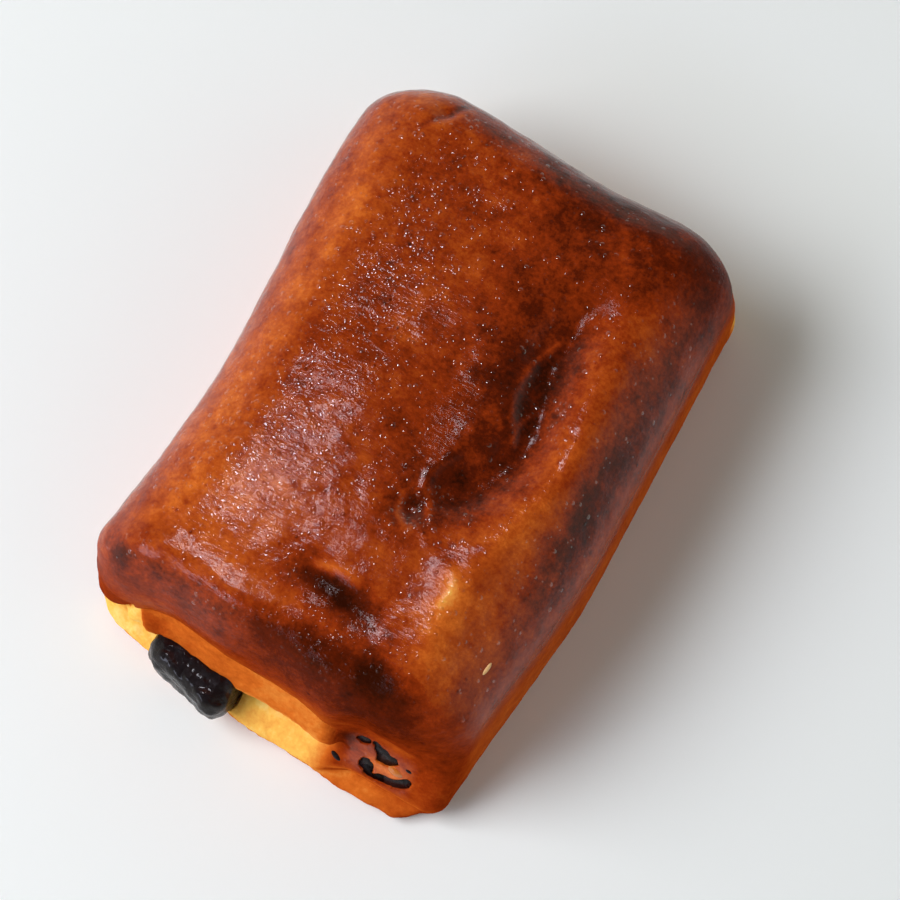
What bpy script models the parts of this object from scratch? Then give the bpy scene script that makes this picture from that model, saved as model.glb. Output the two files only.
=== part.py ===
"""Gluten-free pain au chocolat: a glazed dough roll baked round two chocolate sticks.

The roll lies on its flat underside with its front end towards -Y and the sticks along Y.
Sizes are in millimetres and are turned into metres where a mesh is made.
"""
import bpy
import numpy as np
from mathutils import Vector, noise

MM = 0.001
GAP = 0.3

# Roll: half width, the two ends, the shoulder height and the roundings
HALF_WIDTH = 32.0
HALF_LENGTH = 48.0
SHOULDER_HEIGHT = 31.5
CROWN_RISE = 2.3
CROWN_HALF_WIDTH = 36.0
CROWN_HALF_LENGTH = 54.0
TOP_ROUND_X = 13.0
TOP_ROUND_Y = 8.5
TOP_ROUND_Z = 10.5
CORNER_ROUND = 5.5
SHARP_CORNER_ROUND = 3.2
CORNER_LOW = 9.0
CORNER_HIGH = 23.0
FOOT_ROUND = 4.5
FOOT_INSET = 2.3
FOOT_INSET_AT_ENDS = 0.9
RELIEF_FROM = 12.0

# Outline of the roll seen from above, at its widest level: (y, x) of the sides and (x, y) of the back
LEFT_SIDE = ((-50, -32.8), (-38, -31.8), (-22, -30.3), (-6, -29.8), (6, -30.6), (22, -32.1), (38, -32.5),
             (50, -31.4))
RIGHT_SIDE = ((-50, 29.5), (-38, 30.0), (-22, 31.3), (-7, 32.3), (8, 31.8), (24, 31.2), (38, 30.6),
              (50, 30.4))
BACK_WALL = ((-34, 47.2), (-18, 48.0), (-6, 47.0), (6, 46.2), (17, 46.7), (34, 46.4))

# Front end: (x, distance of the dough wall from the middle), and how far the base flap stands out from it
FRONT_WALL = ((-32, 43.4), (-26, 42.7), (-20, 41.4), (-8, 42.3), (3, 42.4), (9, 43.1), (14, 43.5),
              (22, 43.6), (32, 43.8))
BASE_STANDS_OUT = ((-31, -0.9), (-26, 1.2), (-18, 4.3), (-8, 4.4), (-2, 5.3), (8, 5.0), (20, 4.5),
                   (24, 4.2), (27, 1.5), (32, 1.2))
BASE_TOP = 7.4
BASE_EDGE = 3.2
LAYER_STANDS_OUT = 2.1
LAYER_EDGE = 9.4
LAYER_FULL_FROM = 13.0
LIP_HEIGHT = ((-30, 8.0), (-26, 10.0), (-23, 14.6), (-19, 17.2), (0, 17.6), (6, 16.8), (9, 15.4),
              (11, 12.5), (12.6, 8.8))
LIP_STANDS_OUT = 0.5
LIP_HALF_EDGE = 0.35
LIP_UNDERCUT = 0.4
LIP_UNDERCUT_BELOW = 0.8
CREASE_DEPTH = 0.8
CREASE_HALF_HEIGHT = 0.7

# Right of the open crease the crust closes over the end of the right stick: (z, how far it stands out)
CLOSED_FROM = 9.0
CLOSED_TO = 15.5
CLOSED_CRUST = ((0, 2.6), (2.6, 2.7), (5, 1.9), (8, 0.4), (11, -1.2), (13.5, -2.2), (17, -2.1), (22, -1.6),
                (32, 0))
CLOSED_BASE_FALLS = 2.4
SEAM_HEIGHT = 3.4
SEAM_DEPTH = 0.6
SEAM_LEVELS = (2.2, 3.2)
POCKET_SIDES = (12.2, 24.4)
POCKET_HEIGHTS = (4.0, 13.2)
POCKET_EDGE = 2.4
POCKET_PLANE_OUT = 47.5
POCKET_SLOPE = 0.44
FILM_THICKNESS = 0.8
TEAR_LEAN = 0.7
TEAR_OUTSIDE = 2.5
TEAR_INSIDE = 1.7
FILM_HOLES = {
    "triangle": ((16.8, 12.4), (17.6, 12.3), (19.6, 11.5), (21.0, 10.8), (19.8, 9.5), (18.3, 9.3),
                 (17.4, 10.9)),
    "blob": ((15.7, 7.6), (16.4, 8.3), (17.4, 7.9), (17.7, 6.2), (16.7, 5.6), (15.9, 6.2)),
    "crescent": ((18.4, 5.9), (19.2, 6.6), (21.1, 6.9), (23.4, 8.6), (23.6, 7.3), (22.4, 6.0), (20.4, 5.3),
                 (18.9, 5.2)),
    "slit": ((14.2, 11.6), (15.1, 12.3), (16.1, 12.0), (15.1, 11.2)),
}

# Left corner of the front: the end of the flap that folds round the left stick
FLAP_EDGE_X = -24.0
FLAP_EDGE_LEAN = 0.33
FLAP_STANDS_OUT = 1.1
FLAP_HALF_EDGE = 0.5
FLAP_TOP = 16.5

# Back end, which is like the front with both sticks showing in the crease
BACK_LIP_OVERHANG = 0.6
BACK_LAYER_STANDS_OUT = 0.5
BACK_BASE_STANDS_OUT = 1.6

# Chocolate sticks: middle (x, z), section (width, height), and where they start and stop along Y
LEFT_STICK = (-12.9, 6.9)
LEFT_STICK_SECTION = (11.5, 6.4)
LEFT_STICK_SPAN = (-48.0, 46.9)
RIGHT_STICK = (17.6, 8.6)
RIGHT_STICK_SECTION = (12.6, 8.2)
RIGHT_STICK_SPAN = (-44.0, 45.4)
STICK_ROUND = 2.0
STICK_DENT_DEPTH = 0.35
STICK_DENT_LENGTH = 3.2
DENT_SEED = 5
SLANT_LENGTH = 8.0
TUNNEL_OVERRUN = 5.0

# Melted end of the left stick: how much wider and higher it is, and (x, how far its end stands out)
LUMP_LENGTH = 7.0
LUMP_WIDER = 1.26
LUMP_MOVE = 0.4
LUMP_HIGHER = 1.14
LUMP_END = ((-20.5, -1.3), (-17.5, -0.5), (-14.5, 0.0), (-10.5, 0.9), (-7.5, 1.7), (-5, 1.3))

# Top relief, seen from above: (x, y) paths with depth (down is positive) and half width
VALLEY = (((14, 25), (12.6, 16), (15, 8), (16.5, 2), (14, -4), (10.5, -11)), 2.0, 4.2)
VALLEY_LIP = (((12.6, 21), (11.8, 15), (10.6, 9), (12.6, 4), (15, 0.5)), -0.55, 1.0)
SECOND_LIP = (((8.4, -3.5), (6.6, -7.5), (7.4, -11.5)), -0.7, 0.9)
RIGHT_RIDGE = (((22, 21), (23.5, 10), (24, -2), (21, -10), (18.6, -22), (19.5, -31)), -1.0, 4.0)
DARK_DENT = (((-2, -29), (4, -29.5), (10, -30.5)), 1.1, 2.2)
NOSE_HOLLOW = (((-24, -33), (-8, -34), (6, -36), (14, -38)), 0.6, 3.0)
MIDDLE_DIP = (((2, 12), (3, 0), (2, -10)), 0.7, 6.0)
BACK_DIP = (((8, 40), (6, 30)), 0.6, 6.0)
TOP_PATHS = (VALLEY, VALLEY_LIP, SECOND_LIP, RIGHT_RIDGE, DARK_DENT, NOSE_HOLLOW, MIDDLE_DIP, BACK_DIP)
TOP_PITS = (((6.4, -14.2), 1.3, 2.2), ((-19.6, 41.5), 0.8, 1.5), ((16, -38), 0.5, 2.5))
SWELL_HEIGHT = 0.45
SWELL_LENGTH = 13.0

# Mesh density
STICK_CELL = 1.6
STICK_ARC_CELLS = 2
STICK_WIDTH_CELLS = 4
STICK_FAR_CELLS = 5
LEFT_STICK_END_CELLS = 7
RIGHT_STICK_END_CELLS = 5
ARC_CELLS = 4
WIDTH_CELLS = 16
LENGTH_CELLS = 31
LEVELS = (0, 0.7, 1.8, 3.0, 3.9, 4.9, 6.2, 7.3, 8.2, 9.2, 10.4, 12, 13.6, 15.2, 16.4, 17.2, 18.1, 19.4, 21)


def smooth_step(low, high, value):
    """0 below low and 1 above high, with a smooth rise between."""
    share = np.clip((value - low) / (high - low), 0, 1)
    return share * share * (3 - 2 * share)


def curve(points, value):
    """A smooth line through hand-placed (place, height) points, with level ends."""
    places = np.array([point[0] for point in points], float)
    heights = np.array([point[1] for point in points], float)
    slopes = np.gradient(heights, places)
    value = np.clip(value, places[0], places[-1])
    cell = np.clip(np.searchsorted(places, value) - 1, 0, len(places) - 2)
    length = places[cell + 1] - places[cell]
    share = (value - places[cell]) / length
    rise = heights[cell + 1] - heights[cell]
    start_slope = slopes[cell] * length
    end_slope = slopes[cell + 1] * length
    blend = 3 * share ** 2 - 2 * share ** 3
    start_part = share * (1 - share) ** 2
    end_part = share ** 2 * (share - 1)
    return heights[cell] + rise * blend + start_slope * start_part + end_slope * end_part


def path_distance(path, x, y):
    """Distance from each (x, y) to a path of straight legs."""
    nearest = np.full(np.shape(x), 1e9)
    for (start_x, start_y), (end_x, end_y) in zip(path, path[1:]):
        leg_x = end_x - start_x
        leg_y = end_y - start_y
        along = ((x - start_x) * leg_x + (y - start_y) * leg_y) / (leg_x ** 2 + leg_y ** 2)
        along = np.clip(along, 0, 1)
        distance = np.hypot(x - start_x - along * leg_x, y - start_y - along * leg_y)
        nearest = np.minimum(nearest, distance)
    return nearest


def bump(distance, half_width):
    """A rounded bump: 1 in its middle, falling off over its half width."""
    return np.exp(-(distance / half_width) ** 2)


def swell(x, y, z):
    """The uneven rise of the dough, the same at the same place each time."""
    heights = [noise.noise(Vector(place) / SWELL_LENGTH) for place in zip(x, y, z)]
    return SWELL_HEIGHT * np.array(heights)


def top_relief(x, y):
    """How far the top lies below its plain crown."""
    drop = np.zeros(np.shape(x))
    for path, depth, half_width in TOP_PATHS:
        drop += depth * bump(path_distance(path, x, y), half_width)
    for (pit_x, pit_y), depth, radius in TOP_PITS:
        drop += depth * bump(np.hypot(x - pit_x, y - pit_y), radius)
    return drop


def layered_end(x, z, base_out, layer_out):
    """Lip, second layer, crease and base flap of an open end: how far each level stands out."""
    lip = curve(LIP_HEIGHT, x)
    layer_top = np.maximum(lip, LAYER_EDGE + LIP_UNDERCUT_BELOW)
    out = LIP_STANDS_OUT * smooth_step(-LIP_HALF_EDGE, LIP_HALF_EDGE, z - lip)
    out += base_out * (1 - smooth_step(BASE_EDGE, BASE_TOP, z))
    layer = smooth_step(BASE_TOP, LAYER_EDGE, z) * (1 - smooth_step(LAYER_EDGE, layer_top, z))
    out += layer_out * layer * smooth_step(LAYER_EDGE, LAYER_FULL_FROM, lip)
    out -= CREASE_DEPTH * bump(z - BASE_TOP, CREASE_HALF_HEIGHT)
    out -= LIP_UNDERCUT * bump(z - lip + LIP_UNDERCUT_BELOW, LIP_UNDERCUT)
    return out


def window(limits, edge, value):
    """1 between two limits and 0 outside them, with a smooth edge inside each."""
    low, high = limits
    return smooth_step(low, low + edge, value) * (1 - smooth_step(high - edge, high, value))


def front_out(x, z):
    """Distance of the front end from the middle of the roll, along -Y."""
    base_out = curve(BASE_STANDS_OUT, x)
    open_end = layered_end(x, z, base_out, LAYER_STANDS_OUT)
    flap_edge = FLAP_EDGE_X + FLAP_EDGE_LEAN * (FLAP_TOP - z)
    beside_flap = 1 - smooth_step(-FLAP_HALF_EDGE, FLAP_HALF_EDGE, x - flap_edge)
    below_top = 1 - smooth_step(-FLAP_HALF_EDGE, FLAP_HALF_EDGE, z - FLAP_TOP)
    above_base = smooth_step(BASE_EDGE, BASE_TOP, z)
    open_end -= FLAP_STANDS_OUT * beside_flap * below_top * above_base
    closed_end = curve(CLOSED_CRUST, z)
    closed_end += (base_out - CLOSED_BASE_FALLS) * (1 - smooth_step(*SEAM_LEVELS, z))
    closed_end -= SEAM_DEPTH * bump(z - SEAM_HEIGHT, SEAM_DEPTH)
    closed = smooth_step(CLOSED_FROM, CLOSED_TO, x)
    out = curve(FRONT_WALL, x) + open_end + closed * (closed_end - open_end)
    in_pocket = window(POCKET_SIDES, POCKET_EDGE, x) * window(POCKET_HEIGHTS, POCKET_EDGE, z)
    return out + in_pocket * (POCKET_PLANE_OUT - POCKET_SLOPE * z - out)


def back_out(x, z):
    """Distance of the back end from the middle of the roll, along +Y."""
    layers = layered_end(-x, z, BACK_BASE_STANDS_OUT, BACK_LAYER_STANDS_OUT)
    return curve(BACK_WALL, x) - BACK_LIP_OVERHANG + layers


def foot_inset(z):
    """The rounding of the lower edge: how far it is tucked in."""
    share = np.clip(1 - z / FOOT_ROUND, 0, 1)
    return FOOT_INSET * (1 - np.sqrt(1 - share ** 2))


def axis_lines(half_length, rounding, middle_cells):
    """Lattice lines along one axis, spaced evenly in angle through the two roundings."""
    arc = np.tan(np.linspace(0, np.pi / 4, ARC_CELLS + 1))
    end = half_length - rounding * (1 - arc)
    middle = np.linspace(rounding - half_length, half_length - rounding, middle_cells + 1)
    return np.concatenate([-end[::-1], middle[1:-1], end])


def box_lattice(x_lines, y_lines, z_lines, flat_base):
    """Places and faces of the skin of a box lattice; a flat base is one face."""
    counts = (len(x_lines), len(y_lines), len(z_lines))
    numbers = {}
    places = []

    def number(i, j, k):
        key = (i, j, k)
        if key not in numbers:
            numbers[key] = len(places)
            places.append((x_lines[i], y_lines[j], z_lines[k]))
        return numbers[key]

    faces = []
    last_x, last_y, last_z = (count - 1 for count in counts)
    for i in range(last_x):
        for k in range(last_z):
            faces.append([number(i, 0, k), number(i + 1, 0, k),
                          number(i + 1, 0, k + 1), number(i, 0, k + 1)])
            faces.append([number(i + 1, last_y, k), number(i, last_y, k),
                          number(i, last_y, k + 1), number(i + 1, last_y, k + 1)])
    for j in range(last_y):
        for k in range(last_z):
            faces.append([number(0, j + 1, k), number(0, j, k),
                          number(0, j, k + 1), number(0, j + 1, k + 1)])
            faces.append([number(last_x, j, k), number(last_x, j + 1, k),
                          number(last_x, j + 1, k + 1), number(last_x, j, k + 1)])
    for i in range(last_x):
        for j in range(last_y):
            faces.append([number(i, j, last_z), number(i + 1, j, last_z),
                          number(i + 1, j + 1, last_z), number(i, j + 1, last_z)])
    if flat_base:
        rim = [number(i, 0, 0) for i in range(last_x, 0, -1)]
        rim += [number(0, j, 0) for j in range(last_y)]
        rim += [number(i, last_y, 0) for i in range(last_x)]
        rim += [number(last_x, j, 0) for j in range(last_y, 0, -1)]
        faces.append(rim)
    else:
        for i in range(last_x):
            for j in range(last_y):
                faces.append([number(i + 1, j, 0), number(i, j, 0),
                              number(i, j + 1, 0), number(i + 1, j + 1, 0)])
    return np.array(places), faces


def round_edges(places, half_sizes, height, rounds):
    """Rounds the upright and upper edges of a box skin; rounds gives the radii along X, Y and Z."""
    round_x, round_y, round_z = rounds
    inner_x = half_sizes[0] - round_x
    inner_y = half_sizes[1] - round_y
    inner_z = height - round_z
    core = np.stack([np.clip(places[:, 0], -inner_x, inner_x), np.clip(places[:, 1], -inner_y, inner_y),
                     np.minimum(places[:, 2], inner_z)], 1)
    reach = np.stack([round_x, round_y, np.full(len(places), round_z)], 1)
    direction = (places - core) / reach
    direction /= np.linalg.norm(direction, axis=1)[:, None]
    return core + reach * direction


def dough_shape():
    """The whole roll before the sticks are cut out of it."""
    x_lines = axis_lines(HALF_WIDTH, TOP_ROUND_X, WIDTH_CELLS)
    y_lines = axis_lines(HALF_LENGTH, TOP_ROUND_Y, LENGTH_CELLS)
    arc = np.tan(np.linspace(0, np.pi / 4, ARC_CELLS + 1))
    z_lines = np.concatenate([LEVELS, SHOULDER_HEIGHT - TOP_ROUND_Z * (1 - arc[1:])])
    places, faces = box_lattice(x_lines, y_lines, z_lines, True)
    upper = smooth_step(CORNER_LOW, CORNER_HIGH, places[:, 2])
    sharp = smooth_step(0, HALF_WIDTH, places[:, 0]) * smooth_step(0, HALF_LENGTH, -places[:, 1])
    corner = CORNER_ROUND + (SHARP_CORNER_ROUND - CORNER_ROUND) * sharp
    round_x = corner + (TOP_ROUND_X - corner) * upper
    round_y = corner + (TOP_ROUND_Y - corner) * upper
    rounds = (round_x, round_y, TOP_ROUND_Z)
    x, y, z = round_edges(places, (HALF_WIDTH, HALF_LENGTH), SHOULDER_HEIGHT, rounds).T
    left = curve(LEFT_SIDE, y)
    right = curve(RIGHT_SIDE, y)
    side = x / HALF_WIDTH
    inset = foot_inset(z)
    x_new = (left + right) / 2 + side * ((right - left) / 2 - inset)
    front_share = smooth_step(0, HALF_LENGTH, -y) ** 2
    back_share = smooth_step(0, HALF_LENGTH, y) ** 2
    end_inset = inset * FOOT_INSET_AT_ENDS / FOOT_INSET
    front_move = HALF_LENGTH - front_out(x_new, z) + end_inset
    back_move = HALF_LENGTH - back_out(x_new, z) + end_inset
    y_new = y + front_share * front_move - back_share * back_move
    crown = CROWN_RISE * (1 - (x_new / CROWN_HALF_WIDTH) ** 2) * (1 - (y_new / CROWN_HALF_LENGTH) ** 2)
    top_share = smooth_step(RELIEF_FROM, SHOULDER_HEIGHT, z)
    z_new = z + top_share * (crown - top_relief(x_new, y_new) + swell(x_new, y_new, z))
    return np.stack([x_new, y_new, z_new], 1), faces


def rounded_bar(section, span, end_cells):
    """A bar along Y with rounded edges, finer towards its front: places, outward directions and faces."""
    half_width = section[0] / 2
    half_height = section[1] / 2
    arc = STICK_ROUND * (1 - np.tan(np.linspace(0, np.pi / 4, STICK_ARC_CELLS + 1)))
    across = np.linspace(STICK_ROUND - half_width, half_width - STICK_ROUND, STICK_WIDTH_CELLS + 1)[1:-1]
    x_lines = np.concatenate([arc[::-1] - half_width, across, half_width - arc])
    z_lines = np.concatenate([arc[::-1] - half_height, [0], half_height - arc])
    near_end = span[0] + STICK_ROUND + np.arange(1, end_cells + 1) * STICK_CELL
    far_part = np.linspace(near_end[-1], span[1] - STICK_ROUND, STICK_FAR_CELLS + 1)[1:-1]
    y_lines = np.concatenate([span[0] + arc[::-1], near_end, far_part, span[1] - arc])
    places, faces = box_lattice(x_lines, y_lines, z_lines, False)
    low = [STICK_ROUND - half_width, span[0] + STICK_ROUND, STICK_ROUND - half_height]
    high = [half_width - STICK_ROUND, span[1] - STICK_ROUND, half_height - STICK_ROUND]
    core = np.clip(places, low, high)
    outward = places - core
    outward /= np.linalg.norm(outward, axis=1)[:, None]
    return core + STICK_ROUND * outward, outward, faces


def dents(places):
    """How melted chocolate strays from a plain bar."""
    noise.seed_set(DENT_SEED)
    shifts = [noise.noise_vector(Vector(place) / STICK_DENT_LENGTH) for place in places]
    return STICK_DENT_DEPTH * np.array(shifts)


def tunnel_round(places, outward, back_end):
    """The skin of a stick moved out by the gap, and past the back end of the roll."""
    places = places + GAP * outward
    at_back = smooth_step(back_end - 2 * STICK_ROUND, back_end - STICK_ROUND, places[:, 1])
    places[:, 1] += TUNNEL_OVERRUN * at_back
    return places


def left_stick_shape():
    """The stick whose melted end hangs out of the open crease."""
    places, outward, faces = rounded_bar(LEFT_STICK_SECTION, LEFT_STICK_SPAN, LEFT_STICK_END_CELLS)
    front_end = LEFT_STICK_SPAN[0]
    melted = 1 - smooth_step(front_end + LUMP_LENGTH, front_end + 2 * LUMP_LENGTH, places[:, 1])
    places[:, 0] *= 1 + (LUMP_WIDER - 1) * melted
    places[:, 2] *= 1 + (LUMP_HIGHER - 1) * melted
    places += [LEFT_STICK[0], 0, LEFT_STICK[1]]
    places[:, 0] += LUMP_MOVE * melted
    places[:, 1] -= melted * curve(LUMP_END, places[:, 0])
    return places + melted[:, None] * dents(places), outward, faces


def right_stick_shape():
    """The stick whose slanted end lies behind the torn film."""
    places, outward, faces = rounded_bar(RIGHT_STICK_SECTION, RIGHT_STICK_SPAN, RIGHT_STICK_END_CELLS)
    places += [RIGHT_STICK[0], 0, RIGHT_STICK[1]]
    end_plane = POCKET_SLOPE * places[:, 2] - POCKET_PLANE_OUT + FILM_THICKNESS + GAP
    slanted = 1 - smooth_step(RIGHT_STICK_SPAN[0], RIGHT_STICK_SPAN[0] + SLANT_LENGTH, places[:, 1])
    places[:, 1] += slanted * (end_plane - RIGHT_STICK_SPAN[0])
    return places, outward, faces


def new_material(name, colour, roughness):
    """A plain baked or chocolate surface."""
    material = bpy.data.materials.new(name)
    material.use_nodes = True
    shader = material.node_tree.nodes["Principled BSDF"]
    shader.inputs["Base Color"].default_value = (*colour, 1)
    shader.inputs["Roughness"].default_value = roughness
    shader.inputs["Metallic"].default_value = 0
    return material


def new_object(name, places, faces, material=None):
    """A smooth-shaded mesh object from places in millimetres."""
    mesh = bpy.data.meshes.new(name)
    mesh.from_pydata([tuple(place * MM) for place in places], [], faces)
    mesh.validate()
    mesh.update()
    mesh.shade_smooth()
    piece = bpy.data.objects.new(name, mesh)
    bpy.context.scene.collection.objects.link(piece)
    if material:
        mesh.materials.append(material)
    return piece


def cut(piece, cutter):
    """Takes the cutter's shape out of the piece, and leaves the cutter out of the model."""
    cutter.hide_render = True
    cutter.display_type = "WIRE"
    modifier = piece.modifiers.new(cutter.name, "BOOLEAN")
    modifier.operation = "DIFFERENCE"
    modifier.solver = "EXACT"
    modifier.object = cutter


def tear_shape(outline):
    """A plug through the film, leaning down inwards; its outline runs clockwise seen from the front."""
    count = len(outline)
    places = []
    for inwards in (-TEAR_OUTSIDE, TEAR_INSIDE):
        for x, z in outline:
            places.append((x, POCKET_SLOPE * z - POCKET_PLANE_OUT + inwards, z - TEAR_LEAN * inwards))
    faces = [list(range(count - 1, -1, -1)), list(range(count, 2 * count))]
    for corner in range(count):
        following = (corner + 1) % count
        faces.append([corner, following, following + count, corner + count])
    return np.array(places, float), faces


def clear_scene():
    """Starts from an empty scene."""
    for old in list(bpy.data.objects):
        bpy.data.objects.remove(old, do_unlink=True)


def add_stick(name, shape, span, dough, material):
    """Makes a stick, and cuts its tunnel into the dough."""
    places, outward, faces = shape()
    new_object(name, places, faces, material)
    cut(dough, new_object("tunnel_of_" + name, tunnel_round(places, outward, span[1]), faces))


def main():
    """Makes the dough and the sticks, and cuts the tunnels and the tears into the dough."""
    clear_scene()
    crust = new_material("crust", (0.33, 0.08, 0.02), 0.35)
    chocolate = new_material("chocolate", (0.012, 0.007, 0.008), 0.4)
    dough = new_object("dough", *dough_shape(), crust)
    add_stick("chocolate_left", left_stick_shape, LEFT_STICK_SPAN, dough, chocolate)
    add_stick("chocolate_right", right_stick_shape, RIGHT_STICK_SPAN, dough, chocolate)
    for name, outline in FILM_HOLES.items():
        cut(dough, new_object("tear_" + name, *tear_shape(outline)))


main()
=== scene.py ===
"""Looks of the gluten-free pain au chocolat: glazed crust, pale layered ends and melted chocolate.

The shape functions repeat those of the CAD on a finer mesh. Sizes are in millimetres and are turned into
metres where a mesh is made. The front end lies towards -Y, and the chocolate sticks run along Y.
"""

import bpy
import numpy as np
from mathutils import Matrix, Vector, noise
from mathutils.bvhtree import BVHTree


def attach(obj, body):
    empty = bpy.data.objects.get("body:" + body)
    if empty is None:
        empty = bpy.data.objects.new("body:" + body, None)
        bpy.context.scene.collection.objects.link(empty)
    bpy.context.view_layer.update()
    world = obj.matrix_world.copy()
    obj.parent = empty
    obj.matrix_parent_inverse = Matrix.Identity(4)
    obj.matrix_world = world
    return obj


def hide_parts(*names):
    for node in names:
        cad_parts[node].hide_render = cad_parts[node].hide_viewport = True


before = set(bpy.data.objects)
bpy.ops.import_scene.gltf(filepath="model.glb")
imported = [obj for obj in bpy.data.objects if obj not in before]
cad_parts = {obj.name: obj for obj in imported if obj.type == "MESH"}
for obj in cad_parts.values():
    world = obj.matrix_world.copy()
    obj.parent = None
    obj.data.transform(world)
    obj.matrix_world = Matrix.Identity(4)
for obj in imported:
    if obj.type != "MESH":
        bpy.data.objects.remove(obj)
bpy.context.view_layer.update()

MM = 0.001
GAP = 0.3

# Roll: half width, the two ends, the shoulder height and the roundings
HALF_WIDTH = 32.0
HALF_LENGTH = 48.0
SHOULDER_HEIGHT = 31.5
CROWN_RISE = 2.3
CROWN_HALF_WIDTH = 36.0
CROWN_HALF_LENGTH = 54.0
TOP_ROUND_X = 13.0
TOP_ROUND_Y = 8.5
TOP_ROUND_Z = 10.5
CORNER_ROUND = 5.5
SHARP_CORNER_ROUND = 3.2
CORNER_LOW = 9.0
CORNER_HIGH = 23.0
FOOT_ROUND = 4.5
FOOT_INSET = 2.3
FOOT_INSET_AT_ENDS = 0.9
RELIEF_FROM = 12.0

# Outline of the roll seen from above: (y, x) of the sides and (x, y) of the back
LEFT_SIDE = ((-50, -32.8), (-38, -31.8), (-22, -30.3), (-6, -29.8), (6, -30.6), (22, -32.1), (38, -32.5),
             (50, -31.4))
RIGHT_SIDE = ((-50, 29.5), (-38, 30.0), (-22, 31.3), (-7, 32.3), (8, 31.8), (24, 31.2), (38, 30.6),
              (50, 30.4))
BACK_WALL = ((-34, 47.2), (-18, 48.0), (-6, 47.0), (6, 46.2), (17, 46.7), (34, 46.4))

# Front end: (x, distance of the dough wall from the middle), and how far the base flap stands out from it
FRONT_WALL = ((-32, 43.4), (-26, 42.7), (-20, 41.4), (-8, 42.3), (3, 42.4), (9, 43.1), (14, 43.5),
              (22, 43.6), (32, 43.8))
BASE_STANDS_OUT = ((-31, -0.9), (-26, 1.2), (-18, 4.3), (-8, 4.4), (-2, 5.3), (8, 5.0), (20, 4.5),
                   (24, 4.2), (27, 1.5), (32, 1.2))
BASE_TOP = 7.4
BASE_EDGE = 3.2
LAYER_STANDS_OUT = 2.1
LAYER_EDGE = 9.4
LAYER_FULL_FROM = 13.0
LIP_HEIGHT = ((-30, 8.0), (-26, 10.0), (-23, 14.6), (-19, 17.2), (0, 17.6), (6, 16.8), (9, 15.4),
              (11, 12.5), (12.6, 8.8))
LIP_STANDS_OUT = 0.5
LIP_HALF_EDGE = 0.35
LIP_UNDERCUT = 0.4
LIP_UNDERCUT_BELOW = 0.8
CREASE_DEPTH = 0.8
CREASE_HALF_HEIGHT = 0.7

# Right of the open crease the crust closes over the end of the right stick: (z, how far it stands out)
CLOSED_FROM = 9.0
CLOSED_TO = 15.5
CLOSED_CRUST = ((0, 2.6), (2.6, 2.7), (5, 1.9), (8, 0.4), (11, -1.2), (13.5, -2.2), (17, -2.1), (22, -1.6),
                (32, 0))
CLOSED_BASE_FALLS = 2.4
SEAM_HEIGHT = 3.4
SEAM_DEPTH = 0.6
SEAM_LEVELS = (2.2, 3.2)
POCKET_SIDES = (12.2, 24.4)
POCKET_HEIGHTS = (4.0, 13.2)
POCKET_EDGE = 2.4
POCKET_PLANE_OUT = 47.5
POCKET_SLOPE = 0.44
FILM_THICKNESS = 0.8
TEAR_LEAN = 0.7
TEAR_OUTSIDE = 2.5
TEAR_INSIDE = 1.7
TEAR_GROWS = 0.28
POOL_GROWS = 0.9
POOL_RECESS = 0.3
POOL_INSIDE = 1.3
FILM_HOLES = {
    "triangle": ((16.8, 12.4), (17.6, 12.3), (19.6, 11.5), (21.0, 10.8), (19.8, 9.5), (18.3, 9.3),
                 (17.4, 10.9)),
    "blob": ((15.7, 7.6), (16.4, 8.3), (17.4, 7.9), (17.7, 6.2), (16.7, 5.6), (15.9, 6.2)),
    "crescent": ((18.4, 5.9), (19.2, 6.6), (21.1, 6.9), (23.4, 8.6), (23.6, 7.3), (22.4, 6.0), (20.4, 5.3),
                 (18.9, 5.2)),
    "slit": ((14.2, 11.6), (15.1, 12.3), (16.1, 12.0), (15.1, 11.2)),
}
SMALL_TEAR = ((16.6, 5.7), (17.3, 6.1), (18.5, 5.9), (19.0, 5.4), (18.1, 4.9), (17.0, 5.1))
TEAR_RAGGED_LENGTH = 0.8
TEAR_RAGGED_DEPTH = 0.3

# Left corner of the front: the end of the flap that folds round the left stick
FLAP_EDGE_X = -24.0
FLAP_EDGE_LEAN = 0.33
FLAP_STANDS_OUT = 1.1
FLAP_HALF_EDGE = 0.5
FLAP_TOP = 16.5

# Back end, which is like the front with both sticks showing in the crease
BACK_LIP_OVERHANG = 0.6
BACK_LAYER_STANDS_OUT = 0.5
BACK_BASE_STANDS_OUT = 1.6

# Chocolate sticks: middle (x, z), section (width, height), and where they start and stop along Y
LEFT_STICK = (-12.9, 6.9)
LEFT_STICK_SECTION = (11.5, 6.4)
LEFT_STICK_SPAN = (-48.0, 46.9)
RIGHT_STICK = (17.6, 8.6)
RIGHT_STICK_SECTION = (12.6, 8.2)
RIGHT_STICK_SPAN = (-44.0, 45.4)
STICK_ROUND = 2.0
STICK_DENT_DEPTH = 0.35
STICK_DENT_LENGTH = 3.2
DENT_SEED = 5
STICK_PIT_DEPTH = 0.3
STICK_PIT_LENGTH = 1.3
SLANT_LENGTH = 8.0
TUNNEL_OVERRUN = 5.0
TUNNEL_OVERRUN_EDGE = 1.0
STICKS = ((LEFT_STICK, LEFT_STICK_SECTION), (RIGHT_STICK, RIGHT_STICK_SECTION))

# Melted end of the left stick: how much wider and higher it is, and (x, how far its end stands out)
LUMP_LENGTH = 7.0
LUMP_WIDER = 1.26
LUMP_MOVE = 0.4
LUMP_HIGHER = 1.14
LUMP_END = ((-20.5, -1.3), (-17.5, -0.5), (-14.5, 0.0), (-10.5, 0.9), (-7.5, 1.7), (-5, 1.3))

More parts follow.
